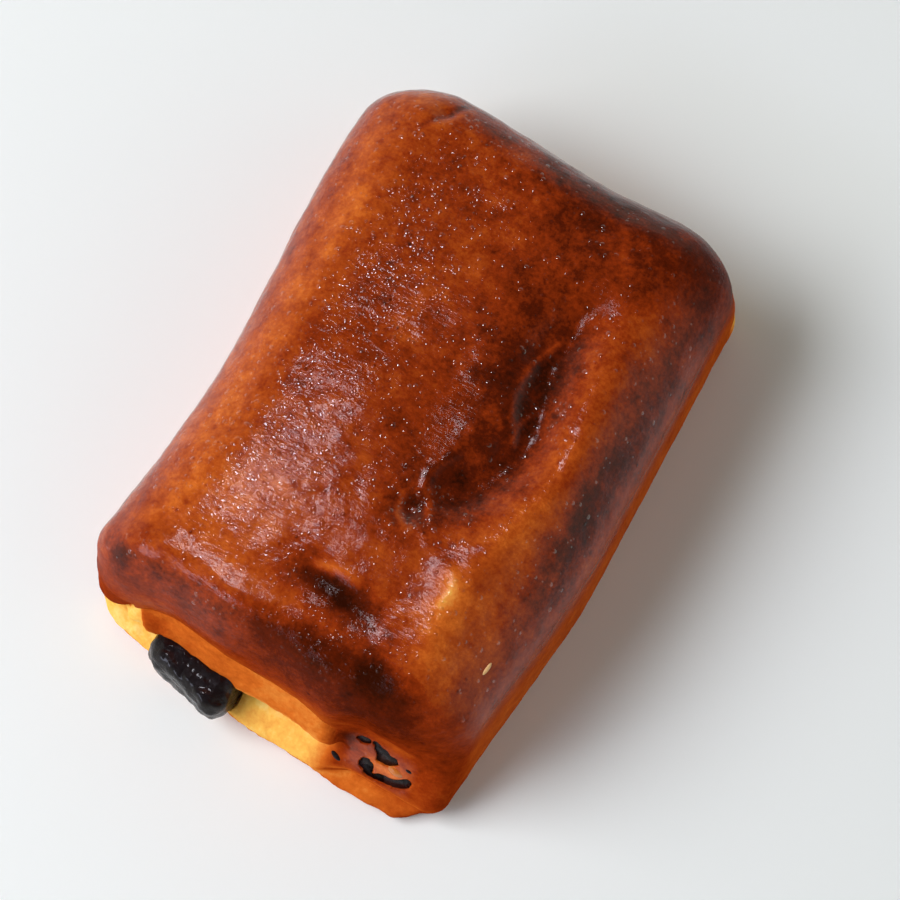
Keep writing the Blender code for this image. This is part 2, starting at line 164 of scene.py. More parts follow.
# Top relief, seen from above: (x, y) paths with depth (down is positive) and half width
TOP_PATHS = (
    (((14, 25), (12.6, 16), (15, 8), (16.5, 2), (14, -4), (10.5, -11)), 2.0, 4.2),
    (((12.6, 21), (11.8, 15), (10.6, 9), (12.6, 4), (15, 0.5)), -0.3, 1.0),
    (((8.4, -3.5), (6.6, -7.5), (7.4, -11.5)), -0.4, 0.9),
    (((22, 21), (23.5, 10), (24, -2), (21, -10), (18.6, -22), (19.5, -31)), -1.0, 4.0),
    (((-2, -29), (4, -29.5), (10, -30.5)), 0.9, 2.4),
    (((-24, -33), (-8, -34), (6, -36), (14, -38)), 0.6, 3.0),
    (((2, 12), (3, 0), (2, -10)), 0.7, 6.0),
    (((8, 40), (6, 30)), 0.6, 6.0),
)
TOP_PITS = (((6.4, -14.2), 1.3, 2.2), ((-19.6, 41.5), 0.8, 1.5), ((16, -38), 0.5, 2.5))
SWELL_HEIGHT = 0.45
SWELL_LENGTH = 13.0

# Finer folds of the skin that the CAD leaves out, in the same form
FINE_PATHS = (
    (((-21.4, 38.6), (-19.4, 41.2), (-17.6, 44.7)), 0.10, 0.6),
    (((-20.4, 38.2), (-18.2, 41.0), (-16.6, 44.4)), -0.10, 0.7),
    (((-25.6, 13.4), (-25.0, 11.2), (-24.6, 9.4)), 0.08, 0.5),
    (((-0.5, -27.6), (3.6, -26.8), (6.0, -27.4)), -0.2, 0.8),
    (((12.8, 19.0), (11.0, 14.0), (11.6, 7.0), (14.6, 1.4)), -0.12, 0.5),
    (((14.6, 7.2), (13.8, 4.2), (14.4, 2.2)), -0.12, 0.4),
    (((4.6, -12.4), (5.8, -15.8), (8.4, -17.0)), -0.15, 0.6),
    (((8.4, -11.6), (9.6, -14.2)), -0.15, 0.6),
    (((16.4, -19.0), (18.0, -21.4), (17.4, -24.6)), -0.15, 0.9),
)
BLISTER_LENGTH = 3.1
BLISTER_HEIGHT = 0.12
RIPPLE_SIZE = (2.2, 0.9, 0.9)
RIPPLE_HEIGHT = 0.05
RAGGED_LENGTH = 1.3
RAGGED_HEIGHT = 0.22
FOOT_KEPT_PLAIN = 1.5

# Mesh density, in millimetres or in cells for each rounding
CELL = 0.45
ARC_CELLS_X = 22
ARC_CELLS_Y = 15
ARC_CELLS_Z = 22
END_LEVEL_STEP = 0.33
END_LEVELS_FROM = 2.5
END_LEVELS_TO = 19.0
STICK_CELL = 0.35
TUNNEL_CELL = 1.0
STICK_ARC_CELLS = 5
STICK_FAR_LINES = 12
OUTLINE_STEPS = 6

# Browning from 0, pale crumb, to 1, almost burnt: (level, screen colour)
BAKE_COLOURS = (
    (0.00, (250, 220, 140)),
    (0.12, (246, 188, 88)),
    (0.25, (230, 144, 62)),
    (0.40, (208, 104, 34)),
    (0.55, (176, 75, 21)),
    (0.70, (142, 48, 11)),
    (0.85, (90, 26, 5)),
    (1.00, (50, 14, 3)),
)
# Olive colour of the painted shade in the crease of the front
PAINTED_CREASE_SHADE = (150, 132, 52)
CHOCOLATE_COLOUR = (0.006, 0.003, 0.004, 1)
# Bluish grey that is partly real bloom and partly a painted sheen
BLOOM_AND_SHEEN_COLOUR = (0.04, 0.038, 0.048, 1)
SPECK_COLOUR = (0.6, 0.58, 0.55, 1)
AMBER_SUGAR = (190, 104, 26)
PALE_FLAKE = (226, 178, 120)
FLOOR_COLOURS = ((0.90, 0.915, 0.93, 1), (0.93, 0.945, 0.955, 1))
CRUST_BAKE = 0.67
CLOSED_FRONT_BAKE = 0.16
# How much darker the fine folds are where they sink in, and paler along their ridges
FOLD_DEPTH_TONE = 1.3

# Ranges over which a look comes in: heights, places along X, or distances from the middle to an end
TOP_HEIGHTS = (12, 26)
FRONT_REACH = (34, 40)
CLOSED_FRONT_REACH = (34, 41)
CLOSED_FRONT_X = (8, 13)
CLOSED_CORNER_X = (-27, -21)
CLOSED_FRONT_HEIGHTS = (14, 24)
FRONT_LAYERS_REACH = (39, 42)
BACK_LAYERS_REACH = (41, 44)
LAYERS_BELOW_LIP = (-0.4, 0.1)
BASE_SKIN_EDGE = 0.4
BASE_SKIN_X = (25, 26.5)
LAYERS_CLOSE_X = (CLOSED_FROM - 1, CLOSED_TO - 3)
TUNNEL_MARGINS = (2.2, 1.2)
TUNNEL_HALF_LENGTH = 39.5
TUNNEL_HEIGHTS = (14, 16)
TUNNEL_BAKE = 0.15

# Changes of browning: (change, middle, half width) of a band, or (change, from, to) of a rise
SIDES_PALER = (-0.14, 24, 6)
SHOULDER_REACH = (38, 43)
SHOULDER_DARKER = (0.10, 27, 4)
LIP_REACH = (40, 43)
LIP_PALER = (-0.08, 17, 3)
LAYER_BAKE = 0.46
LAYER_PALER = (-0.08, -14, 2)
LAYER_EDGE_PALER = (-0.14, 9.2, 0.8)
LIP_LINE_PALER = (-0.3, -0.2, 0.3)
BASE_BAKE = 0.14
BASE_DARKER = ((0.13, 6, 18), (0.12, 18, 25))
BASE_FOOT_DARKER = 0.36
BASE_FOOT_FROM = 0.8
BASE_FOOT_TO = 3.2
BASE_FOOT_HIGHER = (1.2, 4, 14)
BASE_EDGE_PALER = (-0.12, 6.6, 0.5)
BASE_COLOUR_HEIGHTS = (BASE_TOP - 0.5, BASE_TOP + 0.3)
FLAP_DARKER = (0.16, 2.4, 2.4)
FLAP_HEIGHTS = (4, 15)
FLAP_FADE = 2
SLIVER_BAKE = 0.11
SLIVER_EDGE = (-1, 1)
SLIVER_HEIGHTS = (1, 4)

# Lighter and darker places of the top, some of them painted light and shade as marked: (x, y), (half width,
# half length), turn in degrees, change
TOP_PATCHES = (
    # painted light: these two strips make the left shoulder paler where the window light falls on it
    ((-24.5, 18), (3.5, 24), 0, -0.17),
    ((-24, -14), (4, 12), 0, -0.14),
    ((-13.5, 14), (5, 22), 0, 0.06),
    # painted highlight: paler round the soft highlight on the left of the top
    ((-14, -24), (9, 8), 0, -0.12),
    ((-12, -33.5), (8, 2.6), 0, -0.12),
    ((0, 24), (9, 16), 0, 0.03),
    ((9, 14), (6, 14), 0, 0.16),
    ((14, 12), (3, 10), 0, 0.18),
    ((15.5, 1), (3.4, 6), 0, 0.18),
    ((11.5, -8), (5, 5), 0, 0.2),
    ((4, -2), (6, 9), 0, 0.09),
    ((20, 38), (14, 8), 0, 0.18),
    ((22.5, 28), (3, 4), 0, -0.06),
    ((4, 43), (26, 3), 0, 0.12),
    ((-22, 43), (4, 3), 0, -0.08),
    ((22.5, 17), (3, 6), 0, -0.03),
    ((17.5, -38.5), (6, 4), -10, 0.26),
    ((23, 4), (3, 5), 0, -0.06),
    ((22, -9), (4, 6), 0, -0.15),
    ((18.4, -25), (3.2, 6), 0, -0.24),
    ((25, -22), (5, 7), 0, -0.12),
    ((22, -33), (6, 4), 0, -0.10),
    ((4, -29.8), (7, 2.4), -6, 0.34),
    ((0, -34.8), (8, 1.6), -10, -0.05),
    ((5, -38.5), (8, 3.4), -4, 0.26),
    ((-12, -39.2), (12, 1.7), 0, 0.12),
    ((-25.8, -39.6), (1.8, 1.5), 0, 0.22),
    ((14, -37.4), (3, 2), 0, 0.14),
    ((6.4, -14.4), (3, 3.4), 0, 0.18),
    # painted shade: the right shoulder, turned away from the window light, is made darker
    ((28.5, 0), (2.8, 30), 0, 0.20),
    ((-8, 22), (6, 6), 0, -0.05),
    ((2, 38), (8, 5), 0, 0.08),
    # painted highlight: paler where the soft highlight spreads towards the front left
    ((-20, -30), (5, 5), 0, -0.1),
    ((15.6, 14), (3, 5), 0, 0.05),
)

# Crust material: noise as (size, detail, roughness), spots as (cell, radius, share), coats as (roughness, IOR)
BLOTCHES = (((5.0, 3, 0.55), 0.38), ((1.9, 3, 0.6), 0.34), ((0.55, 2, 0.6), 0.26))
UNEVENNESS_LEAST = 0.55
FRECKLES = (2.4, 0.9, 0.3)
FRECKLE_BAKE = 0.12
SMALL_BUBBLES = (0.75, 0.24)
SMALL_BUBBLE_SHARE = 0.6
SMALL_BUBBLE_HEIGHT = 0.06
LARGE_BUBBLES = (1.7, 0.42)
LARGE_BUBBLE_SHARE = 0.4
LARGE_BUBBLE_HEIGHT = 0.10
LARGE_BUBBLE_DARKER = 0.2
WRINKLE_NOISE = (0.55, 3, 0.55)
WRINKLE_SCALE = (0.4, 1.0, 1.0)
WRINKLE_DEPTH = 0.13
SKIN_NOISE = (((1.6, 2, 0.5), 0.06), ((0.3, 1, 0.5), 0.006))
BARE_NOISE = (0.9, 3, 0.6)
BARE_DEPTH = 0.12
MATT_ROUGHNESS = 0.6
GLAZE_COAT = (0.15, 1.33)
BUBBLE_COAT = (0.12, 1.9)

# Chocolate material, in the same form
BLOOM_AND_SHEEN_NOISE = (1.6, 3, 0.6)
BLOOM_AND_SHEEN_RANGE = (0.0, 0.25)
BLOOM_AND_SHEEN_SHARE = 0.36
SPECKS = (1.5, 0.12, 0.4)
SPECK_RANGE = (0.3, 0.6)
CHOCOLATE_NOISE = (0.7, 3, 0.6)
CHOCOLATE_NOISE_HEIGHT = 0.25
CHOCOLATE_PITS = (1.1, 0.4, 0.6)
CHOCOLATE_PIT_DEPTH = 0.2
CHOCOLATE_ROUGHNESS = 0.4
CHOCOLATE_SHEEN = 0.2
SWEET_COAT_ROUGHNESS = 0.12
STICK_COAT = 0.4
POOL_COAT = 0.1

# Lighter and darker places of the closed front: (x, z), (half width, half height), change
FRONT_PATCHES = (
    ((20.8, 8.4), (3.0, 1.8), -0.24),
    ((17.6, 8.2), (1.0, 1.2), -0.16),
    ((19.5, 14.2), (4.5, 1.4), -0.16),
    ((12.8, 11.0), (2.0, 2.6), 0.16),
    ((17.5, 4.2), (9.0, 0.35), -0.3),
    ((24.0, 4.6), (3.0, 1.0), -0.1),
)

# Glaze: its least, the heights over which it thickens, and the share over the torn film
GLAZE_LEAST = 0.06
GLAZE_HEIGHTS = (12, 28)
FILM_GLAZE = 0.9

# Thinner glaze at the front: how much less, reach, range along X and heights below which it is thin
THIN_FRONTS = (
    (0.75, (34, 42), None, (23, 31)),
    (0.8, (35, 40), (8, 16), None),
    (0.75, (32, 38), (-12, -2), None),
)

# Where the glaze is thin: (x, y), (half width, half length), how much less
THIN_PATCHES = (
    ((27, 40), (9, 11), 0.7),
    ((4, -30), (7, 3.5), 0.6),
)

# Where the glaze between the bubbles has sunk in and shines less, in the same form
DULL_PATCHES = (
    ((-13, 2), (6, 8), 0.55),
    ((3.5, 0), (4.5, 7), 0.6),
    ((1, -22), (5, 6), 0.5),
    ((15, 26), (3.5, 4.5), 0.7),
    ((17.5, -21.5), (3, 5), 0.5),
)

# Where the glaze is full of bubbles: (x, y), (half width, half length), turn in degrees, how many more
BUBBLE_PATCHES = (
    ((-13, 16), (8, 24), 0, 0.75),
    ((-14, -18), (9, 14), 0, 0.6),
    ((7, -14), (3.5, 4), 0, 0.7),
    ((20, 7), (3, 4), 0, 0.35),
    ((16.5, -21), (2.6, 6), 0, 0.4),
    ((6, -37), (12, 4), 0, 0.45),
    ((20, -31), (5, 4), 0, 0.2),
)
FEW_BUBBLES = 0.10
BUBBLE_HEIGHTS = (14, 24)
BUBBLE_TRIES = 15000
BUBBLE_SEED = 11
BUBBLE_REACH = (31, 46)
BUBBLE_STEEPEST = 0.3
BUBBLE_STEEPNESS_SPREAD = 0.6
BUBBLE_SMALLEST = 0.14
BUBBLE_LARGER = 0.25
BUBBLE_STRETCH = 0.4
BUBBLE_TURNS = 180
BUBBLE_CURVE = 0.9
BUBBLE_RINGS = 3
BUBBLE_SIDES = 8
DROP_RINGS = 8
DROP_SIDES = 24
DOME_SINKS = 0.2
ABOVE = 60
TO_THE_BACK = (0, 1, 0)
DOWN = (0, 0, -1)

# Where the skin is drawn into fine wrinkles, which way they run, and the bubbles that are drawn out there
WRINKLE_ZONE = ((-14.5, -20), (8, 13), 0)
WRINKLE_HEIGHTS = (20, 28)
WRINKLES_ELSEWHERE = 0.5
WRINKLE_TURN = -14.0
WRINKLE_TURNS_FEWER = 120
WRINKLE_STRETCH = 1.2
WRINKLE_BUBBLES = 0.1

# Painted shade in the crease of the front, an olive tint where the crumb lies in shade: bands along X and Z,
# and reach
CREASE_SHADE_X = (0.8, -3.2, 2.4)
CREASE_SHADE_Z = (1, 6.4, 1.1)
CREASE_SHADE_REACH = (38, 41)

# Camera, as the photograph was taken. It, the floor and the lights are in metres
VIEW_AZIMUTH = 30.0
VIEW_ELEVATION = 72.0
VIEW_DISTANCE = 0.5
VIEW_TARGET = (0.0042, 0.0016, 0.014)
LENS = 135.0

FLOOR_HALF_SIZE = 1.5
FLOOR_NOISE = (180.0, 1, 0.5)
FLOOR_NOISE_RANGE = (-0.4, 0.4)

# Middle of the soft highlight on the top
HIGHLIGHT_PLACE = (-0.0167, -0.022, 0.0325)

# Lights: name, target, azimuth, elevation, distance, size, power, colour, on surfaces, in the shine
LIGHTS = (
    ("window", VIEW_TARGET, -60, 48, 1.2, (0.78, 0.7), 13.5, (0.97, 0.99, 1.0), True, False),
    ("glint", HIGHLIGHT_PLACE, -124, 72.5, 0.25, (0.045, 0.045), 0.15, (0.9, 0.92, 1.0), False, True),
    ("fill", VIEW_TARGET, 100, 40, 1.2, (0.8, 0.8), 0.6, (1.0, 0.99, 0.95), True, False),
    ("front_sky", VIEW_TARGET, -28, 36, 0.8, (0.3, 0.12), 0.8, (0.75, 0.8, 1.0), True, True),
)

# Small pieces: name, look, start and direction of the line to the surface, turn in degrees, half sizes
DROPS = (
    ("sugar_drop", "amber_sugar", (21.1, -60, 8.9), TO_THE_BACK, -10, (1.3, 0.75, 0.45)),
    ("smear_left", "smear_look", (11.9, -60, 5.6), TO_THE_BACK, -25, (0.95, 0.45, 0.2)),
    ("smear_right", "smear_look", (22.9, -60, 10.4), TO_THE_BACK, -20, (0.55, 0.35, 0.2)),
    ("loose_flake", "pale_flake", (27.3, -28.0, 60), DOWN, 80, (1.1, 0.35, 0.25)),
)

# Light of the room: (sine of the height above the horizon, brightness) and its tint
ROOM_LIGHT = ((0.0, 0.85), (0.35, 0.7), (0.6, 0.25), (0.8, 0.03), (1.0, 0.02))
ROOM_TINT = (0.97, 0.98, 0.86)


def smooth_step(low, high, value):
    """0 below low and 1 above high, with a smooth rise between."""
    share = np.clip((value - low) / (high - low), 0, 1)
    return share * share * (3 - 2 * share)


def curve(points, value):
    """A smooth line through given (place, height) points, with level ends."""
    places = np.array([point[0] for point in points], float)
    heights = np.array([point[1] for point in points], float)
    slopes = np.gradient(heights, places)
    value = np.clip(value, places[0], places[-1])
    cell = np.clip(np.searchsorted(places, value) - 1, 0, len(places) - 2)
    length = places[cell + 1] - places[cell]
    share = (value - places[cell]) / length
    rise = heights[cell + 1] - heights[cell]
    start_slope = slopes[cell] * length
    end_slope = slopes[cell + 1] * length
    blend = 3 * share ** 2 - 2 * share ** 3
    start_part = share * (1 - share) ** 2
    end_part = share ** 2 * (share - 1)
    return heights[cell] + rise * blend + start_slope * start_part + end_slope * end_part


def smooth_line(points, spacing):
    """Evenly spaced places on a path through given points, rounded between them."""
    points = np.array(points, float)
    lengths = np.linalg.norm(np.diff(points, axis=0), axis=1)
    reached = np.concatenate([[0], np.cumsum(lengths)])
    along = np.linspace(0, reached[-1], round(reached[-1] / spacing) + 1)
    return np.stack([curve(np.stack([reached, points[:, axis]], 1), along) for axis in (0, 1)], 1)


def path_share(path, half_width, x, y):
    """1 along a path, falling off smoothly over its half width and past its ends."""
    spacing = half_width / 2.5
    share = np.zeros(np.shape(x))
    for path_x, path_y in smooth_line(path, spacing):
        share += np.exp(-((x - path_x) ** 2 + (y - path_y) ** 2) / half_width ** 2)
    return share * spacing / (half_width * np.sqrt(np.pi))


def bump(distance, half_width):
    """A rounded bump: 1 in its middle, falling off over its half width."""
    return np.exp(-(distance / half_width) ** 2)


def band(value, change, middle, half_width):
    """A change that is full in the middle of a band."""
    return change * bump(value - middle, half_width)


def rise(value, change, start, full):
    """A change that comes in from one value to another."""
    return change * smooth_step(start, full, value)


def noise_at(places, size):
    """Smooth noise between about -1 and 1; the size of its features may differ by axis."""
    return np.array([noise.noise(Vector(place)) for place in np.asarray(places) / size])


def swell(x, y, z):
    """The uneven rise of the dough, as in the CAD."""
    return SWELL_HEIGHT * noise_at(np.stack([x, y, z], 1), SWELL_LENGTH)


def top_relief(x, y):
    """How far the top lies below its plain crown."""
    drop = np.zeros(np.shape(x))
    for path, depth, half_width in TOP_PATHS + FINE_PATHS:
        drop += depth * path_share(path, half_width, x, y)
    for (pit_x, pit_y), depth, radius in TOP_PITS:
        drop += depth * bump(np.hypot(x - pit_x, y - pit_y), radius)
    return drop


def layered_end(x, z, base_out, layer_out):
    """Lip, second layer, crease and base flap of an open end: how far each level stands out."""
    lip = curve(LIP_HEIGHT, x)
    layer_top = np.maximum(lip, LAYER_EDGE + LIP_UNDERCUT_BELOW)
    out = LIP_STANDS_OUT * smooth_step(-LIP_HALF_EDGE, LIP_HALF_EDGE, z - lip)
    out += base_out * (1 - smooth_step(BASE_EDGE, BASE_TOP, z))
    layer = smooth_step(BASE_TOP, LAYER_EDGE, z) * (1 - smooth_step(LAYER_EDGE, layer_top, z))
    out += layer_out * layer * smooth_step(LAYER_EDGE, LAYER_FULL_FROM, lip)
    out -= CREASE_DEPTH * bump(z - BASE_TOP, CREASE_HALF_HEIGHT)
    out -= LIP_UNDERCUT * bump(z - lip + LIP_UNDERCUT_BELOW, LIP_UNDERCUT)
    return out


def window(limits, edge, value):
    """1 between two limits and 0 outside them, with a smooth edge inside each."""
    low, high = limits
    return smooth_step(low, low + edge, value) * (1 - smooth_step(high - edge, high, value))


def front_out(x, z):
    """Distance of the front end from the middle of the roll, along -Y."""
    base_out = curve(BASE_STANDS_OUT, x)
    open_end = layered_end(x, z, base_out, LAYER_STANDS_OUT)
    flap_edge = FLAP_EDGE_X + FLAP_EDGE_LEAN * (FLAP_TOP - z)
    beside_flap = 1 - smooth_step(-FLAP_HALF_EDGE, FLAP_HALF_EDGE, x - flap_edge)
    below_top = 1 - smooth_step(-FLAP_HALF_EDGE, FLAP_HALF_EDGE, z - FLAP_TOP)
    above_base = smooth_step(BASE_EDGE, BASE_TOP, z)
    open_end -= FLAP_STANDS_OUT * beside_flap * below_top * above_base
    closed_end = curve(CLOSED_CRUST, z)
    closed_end += (base_out - CLOSED_BASE_FALLS) * (1 - smooth_step(*SEAM_LEVELS, z))
    closed_end -= SEAM_DEPTH * bump(z - SEAM_HEIGHT, SEAM_DEPTH)
    closed = smooth_step(CLOSED_FROM, CLOSED_TO, x)
    out = curve(FRONT_WALL, x) + open_end + closed * (closed_end - open_end)
    in_pocket = window(POCKET_SIDES, POCKET_EDGE, x) * window(POCKET_HEIGHTS, POCKET_EDGE, z)
    return out + in_pocket * (POCKET_PLANE_OUT - POCKET_SLOPE * z - out)


def back_out(x, z):
    """Distance of the back end from the middle of the roll, along +Y."""
    layers = layered_end(-x, z, BACK_BASE_STANDS_OUT, BACK_LAYER_STANDS_OUT)
    return curve(BACK_WALL, x) - BACK_LIP_OVERHANG + layers


def foot_inset(z):
    """The rounding of the lower edge: how far it is tucked in."""
    share = np.clip(1 - z / FOOT_ROUND, 0, 1)
    return FOOT_INSET * (1 - np.sqrt(1 - share ** 2))


def axis_lines(half, rounding, arc_cells):
    """Lattice lines along one axis, spaced evenly in angle through the roundings."""
    arc = rounding * (1 - np.tan(np.linspace(0, np.pi / 4, arc_cells + 1)))
    inner = half - rounding
    middle = np.linspace(-inner, inner, round(2 * inner / CELL) + 1)
    return np.concatenate([arc[::-1] - half, middle[1:-1], half - arc])


def box_lattice(x_lines, y_lines, z_lines, flat_base):
    """Places and faces of the skin of a box lattice; a flat base is one face."""
    counts = (len(x_lines), len(y_lines), len(z_lines))
    numbers = {}
    places = []

    def number(i, j, k):
        key = (i, j, k)
        if key not in numbers:
            numbers[key] = len(places)
            places.append((x_lines[i], y_lines[j], z_lines[k]))
        return numbers[key]

    faces = []

    def face(*corners):
        faces.append([number(*corner) for corner in corners])

    last_x, last_y, last_z = (count - 1 for count in counts)
    for i in range(last_x):
        for k in range(last_z):
            face((i, 0, k), (i + 1, 0, k), (i + 1, 0, k + 1), (i, 0, k + 1))
            face((i + 1, last_y, k), (i, last_y, k), (i, last_y, k + 1), (i + 1, last_y, k + 1))
    for j in range(last_y):
        for k in range(last_z):
            face((0, j + 1, k), (0, j, k), (0, j, k + 1), (0, j + 1, k + 1))
            face((last_x, j, k), (last_x, j + 1, k), (last_x, j + 1, k + 1), (last_x, j, k + 1))
    for i in range(last_x):
        for j in range(last_y):
            face((i, j, last_z), (i + 1, j, last_z), (i + 1, j + 1, last_z), (i, j + 1, last_z))
    if flat_base:
        rim = [number(i, 0, 0) for i in range(last_x, 0, -1)]
        rim += [number(0, j, 0) for j in range(last_y)]
        rim += [number(i, last_y, 0) for i in range(last_x)]
        rim += [number(last_x, j, 0) for j in range(last_y, 0, -1)]
        faces.append(rim)
    else:
        for i in range(last_x):
            for j in range(last_y):
                face((i + 1, j, 0), (i, j, 0), (i, j + 1, 0), (i + 1, j + 1, 0))
    return np.array(places), faces


def round_edges(places, half_sizes, height, rounds):
    """Rounds the upright and upper edges of a box skin; rounds gives the radii along X, Y and Z."""
    round_x, round_y, round_z = rounds
    inner_x = half_sizes[0] - round_x
    inner_y = half_sizes[1] - round_y
    inner_z = height - round_z
    core = np.stack([np.clip(places[:, 0], -inner_x, inner_x), np.clip(places[:, 1], -inner_y, inner_y),
                     np.minimum(places[:, 2], inner_z)], 1)
    reach = np.stack([round_x, round_y, np.full(len(places), round_z)], 1)
    direction = (places - core) / reach
    direction /= np.linalg.norm(direction, axis=1)[:, None]
    return core + reach * direction


def dough_shape():
    """The whole roll before the sticks are cut out of it."""
    x_lines = axis_lines(HALF_WIDTH, TOP_ROUND_X, ARC_CELLS_X)
    y_lines = axis_lines(HALF_LENGTH, TOP_ROUND_Y, ARC_CELLS_Y)
    arc = np.tan(np.linspace(0, np.pi / 4, ARC_CELLS_Z + 1))
    shoulder = SHOULDER_HEIGHT - TOP_ROUND_Z * (1 - arc)
    foot = np.arange(0, END_LEVELS_FROM, CELL)
    end_levels = np.arange(END_LEVELS_FROM, END_LEVELS_TO, END_LEVEL_STEP)
    below_shoulder = np.arange(END_LEVELS_TO, shoulder[0] - CELL / 2, CELL)
    z_lines = np.concatenate([foot, end_levels, below_shoulder, shoulder])
    places, faces = box_lattice(x_lines, y_lines, z_lines, True)
    upper = smooth_step(CORNER_LOW, CORNER_HIGH, places[:, 2])
    sharp = smooth_step(0, HALF_WIDTH, places[:, 0]) * smooth_step(0, HALF_LENGTH, -places[:, 1])
    corner = CORNER_ROUND + (SHARP_CORNER_ROUND - CORNER_ROUND) * sharp
    round_x = corner + (TOP_ROUND_X - corner) * upper
    round_y = corner + (TOP_ROUND_Y - corner) * upper
    rounds = (round_x, round_y, TOP_ROUND_Z)
    x, y, z = round_edges(places, (HALF_WIDTH, HALF_LENGTH), SHOULDER_HEIGHT, rounds).T
    left = curve(LEFT_SIDE, y)
    right = curve(RIGHT_SIDE, y)
    side = x / HALF_WIDTH
    inset = foot_inset(z)
    x_new = (left + right) / 2 + side * ((right - left) / 2 - inset)
    front_share = smooth_step(0, HALF_LENGTH, -y) ** 2
    back_share = smooth_step(0, HALF_LENGTH, y) ** 2
    end_inset = inset * FOOT_INSET_AT_ENDS / FOOT_INSET
    front_move = HALF_LENGTH - front_out(x_new, z) + end_inset
    back_move = HALF_LENGTH - back_out(x_new, z) + end_inset
    y_new = y + front_share * front_move - back_share * back_move
    crown = CROWN_RISE * (1 - (x_new / CROWN_HALF_WIDTH) ** 2) * (1 - (y_new / CROWN_HALF_LENGTH) ** 2)
    top_share = smooth_step(RELIEF_FROM, SHOULDER_HEIGHT, z)
    z_new = z + top_share * (crown - top_relief(x_new, y_new) + swell(x_new, y_new, z))
    return np.stack([x_new, y_new, z_new], 1), faces


def open_layers(places):
    """1 on the cut layers of the two ends, below the lip, and 0 on the crust."""
    x, y, z = places.T
    front = smooth_step(*FRONT_LAYERS_REACH, -y)
    front *= 1 - smooth_step(*LAYERS_BELOW_LIP, z - curve(LIP_HEIGHT, x))
    base_flap = 1 - smooth_step(SEAM_HEIGHT - BASE_SKIN_EDGE, SEAM_HEIGHT, z)
    base_flap *= 1 - smooth_step(*BASE_SKIN_X, x)
    front *= np.maximum(1 - smooth_step(*LAYERS_CLOSE_X, x), base_flap)
    back = smooth_step(*BACK_LAYERS_REACH, y)
    back *= 1 - smooth_step(*LAYERS_BELOW_LIP, z - curve(LIP_HEIGHT, -x))
    return np.maximum(front, back)


def roughen(mesh):
    """Gives the smooth skin its soft blisters and ripples, and the cut layers a ragged crumb."""
    places = vertex_values(mesh, "co") / MM
    outward = vertex_values(mesh, "normal")
    layers = open_layers(places)
    height = BLISTER_HEIGHT * noise_at(places, BLISTER_LENGTH)
    height += RIPPLE_HEIGHT * noise_at(places, RIPPLE_SIZE)
    height *= 1 - layers
    height += layers * RAGGED_HEIGHT * noise_at(places, RAGGED_LENGTH)
    height *= smooth_step(0, FOOT_KEPT_PLAIN, places[:, 2])
    set_places(mesh, places + height[:, None] * outward)


def rounded_bar(section, span, cell):
    """A straight bar along Y with rounded edges: places, outward directions and faces."""
    half_width = section[0] / 2
    half_height = section[1] / 2
    arc = STICK_ROUND * (1 - np.tan(np.linspace(0, np.pi / 4, STICK_ARC_CELLS + 1)))
    across = np.arange(STICK_ROUND - half_width + cell, half_width - STICK_ROUND - cell / 2, cell)
    upright = np.arange(STICK_ROUND - half_height + cell, half_height - STICK_ROUND - cell / 2, cell)
    x_lines = np.concatenate([arc[::-1] - half_width, across, half_width - arc])
    z_lines = np.concatenate([arc[::-1] - half_height, upright, half_height - arc])
    near_end = np.arange(span[0] + STICK_ROUND + cell, span[0] + STICK_ROUND + 2 * SLANT_LENGTH, cell)
    far_part = np.linspace(near_end[-1], span[1] - STICK_ROUND, STICK_FAR_LINES)[1:-1]
    y_lines = np.concatenate([span[0] + arc[::-1], near_end, far_part, span[1] - arc])
    places, faces = box_lattice(x_lines, y_lines, z_lines, False)
    low = [STICK_ROUND - half_width, span[0] + STICK_ROUND, STICK_ROUND - half_height]
    high = [half_width - STICK_ROUND, span[1] - STICK_ROUND, half_height - STICK_ROUND]
    core = np.clip(places, low, high)
    outward = places - core
    outward /= np.linalg.norm(outward, axis=1)[:, None]
    return core + STICK_ROUND * outward, outward, faces


def dents(places):
    """How melted chocolate strays from a plain bar, as in the CAD but with finer lumps and pits."""
    noise.seed_set(DENT_SEED)
    large = [noise.noise_vector(Vector(place) / STICK_DENT_LENGTH) for place in places]
    small = [noise.noise_vector(Vector(place) / STICK_PIT_LENGTH) for place in places]
    return STICK_DENT_DEPTH * np.array(large) + STICK_PIT_DEPTH * np.array(small)


def tunnel_round(places, outward, back_end):
    """The skin of a stick moved out by the gap, and past the back end of the roll."""
    places = places + GAP * outward
    edge = back_end - STICK_ROUND
    places[:, 1] += TUNNEL_OVERRUN * smooth_step(edge - TUNNEL_OVERRUN_EDGE, edge, places[:, 1])
    return places


def left_stick_shape(cell):
    """The stick whose melted end hangs out of the open crease."""
    places, outward, faces = rounded_bar(LEFT_STICK_SECTION, LEFT_STICK_SPAN, cell)
    front_end = LEFT_STICK_SPAN[0]
    melted = 1 - smooth_step(front_end + LUMP_LENGTH, front_end + 2 * LUMP_LENGTH, places[:, 1])
    places[:, 0] *= 1 + (LUMP_WIDER - 1) * melted
    places[:, 2] *= 1 + (LUMP_HIGHER - 1) * melted
    places += [LEFT_STICK[0], 0, LEFT_STICK[1]]
    places[:, 0] += LUMP_MOVE * melted
    places[:, 1] -= melted * curve(LUMP_END, places[:, 0])
    return places + melted[:, None] * dents(places), outward, faces


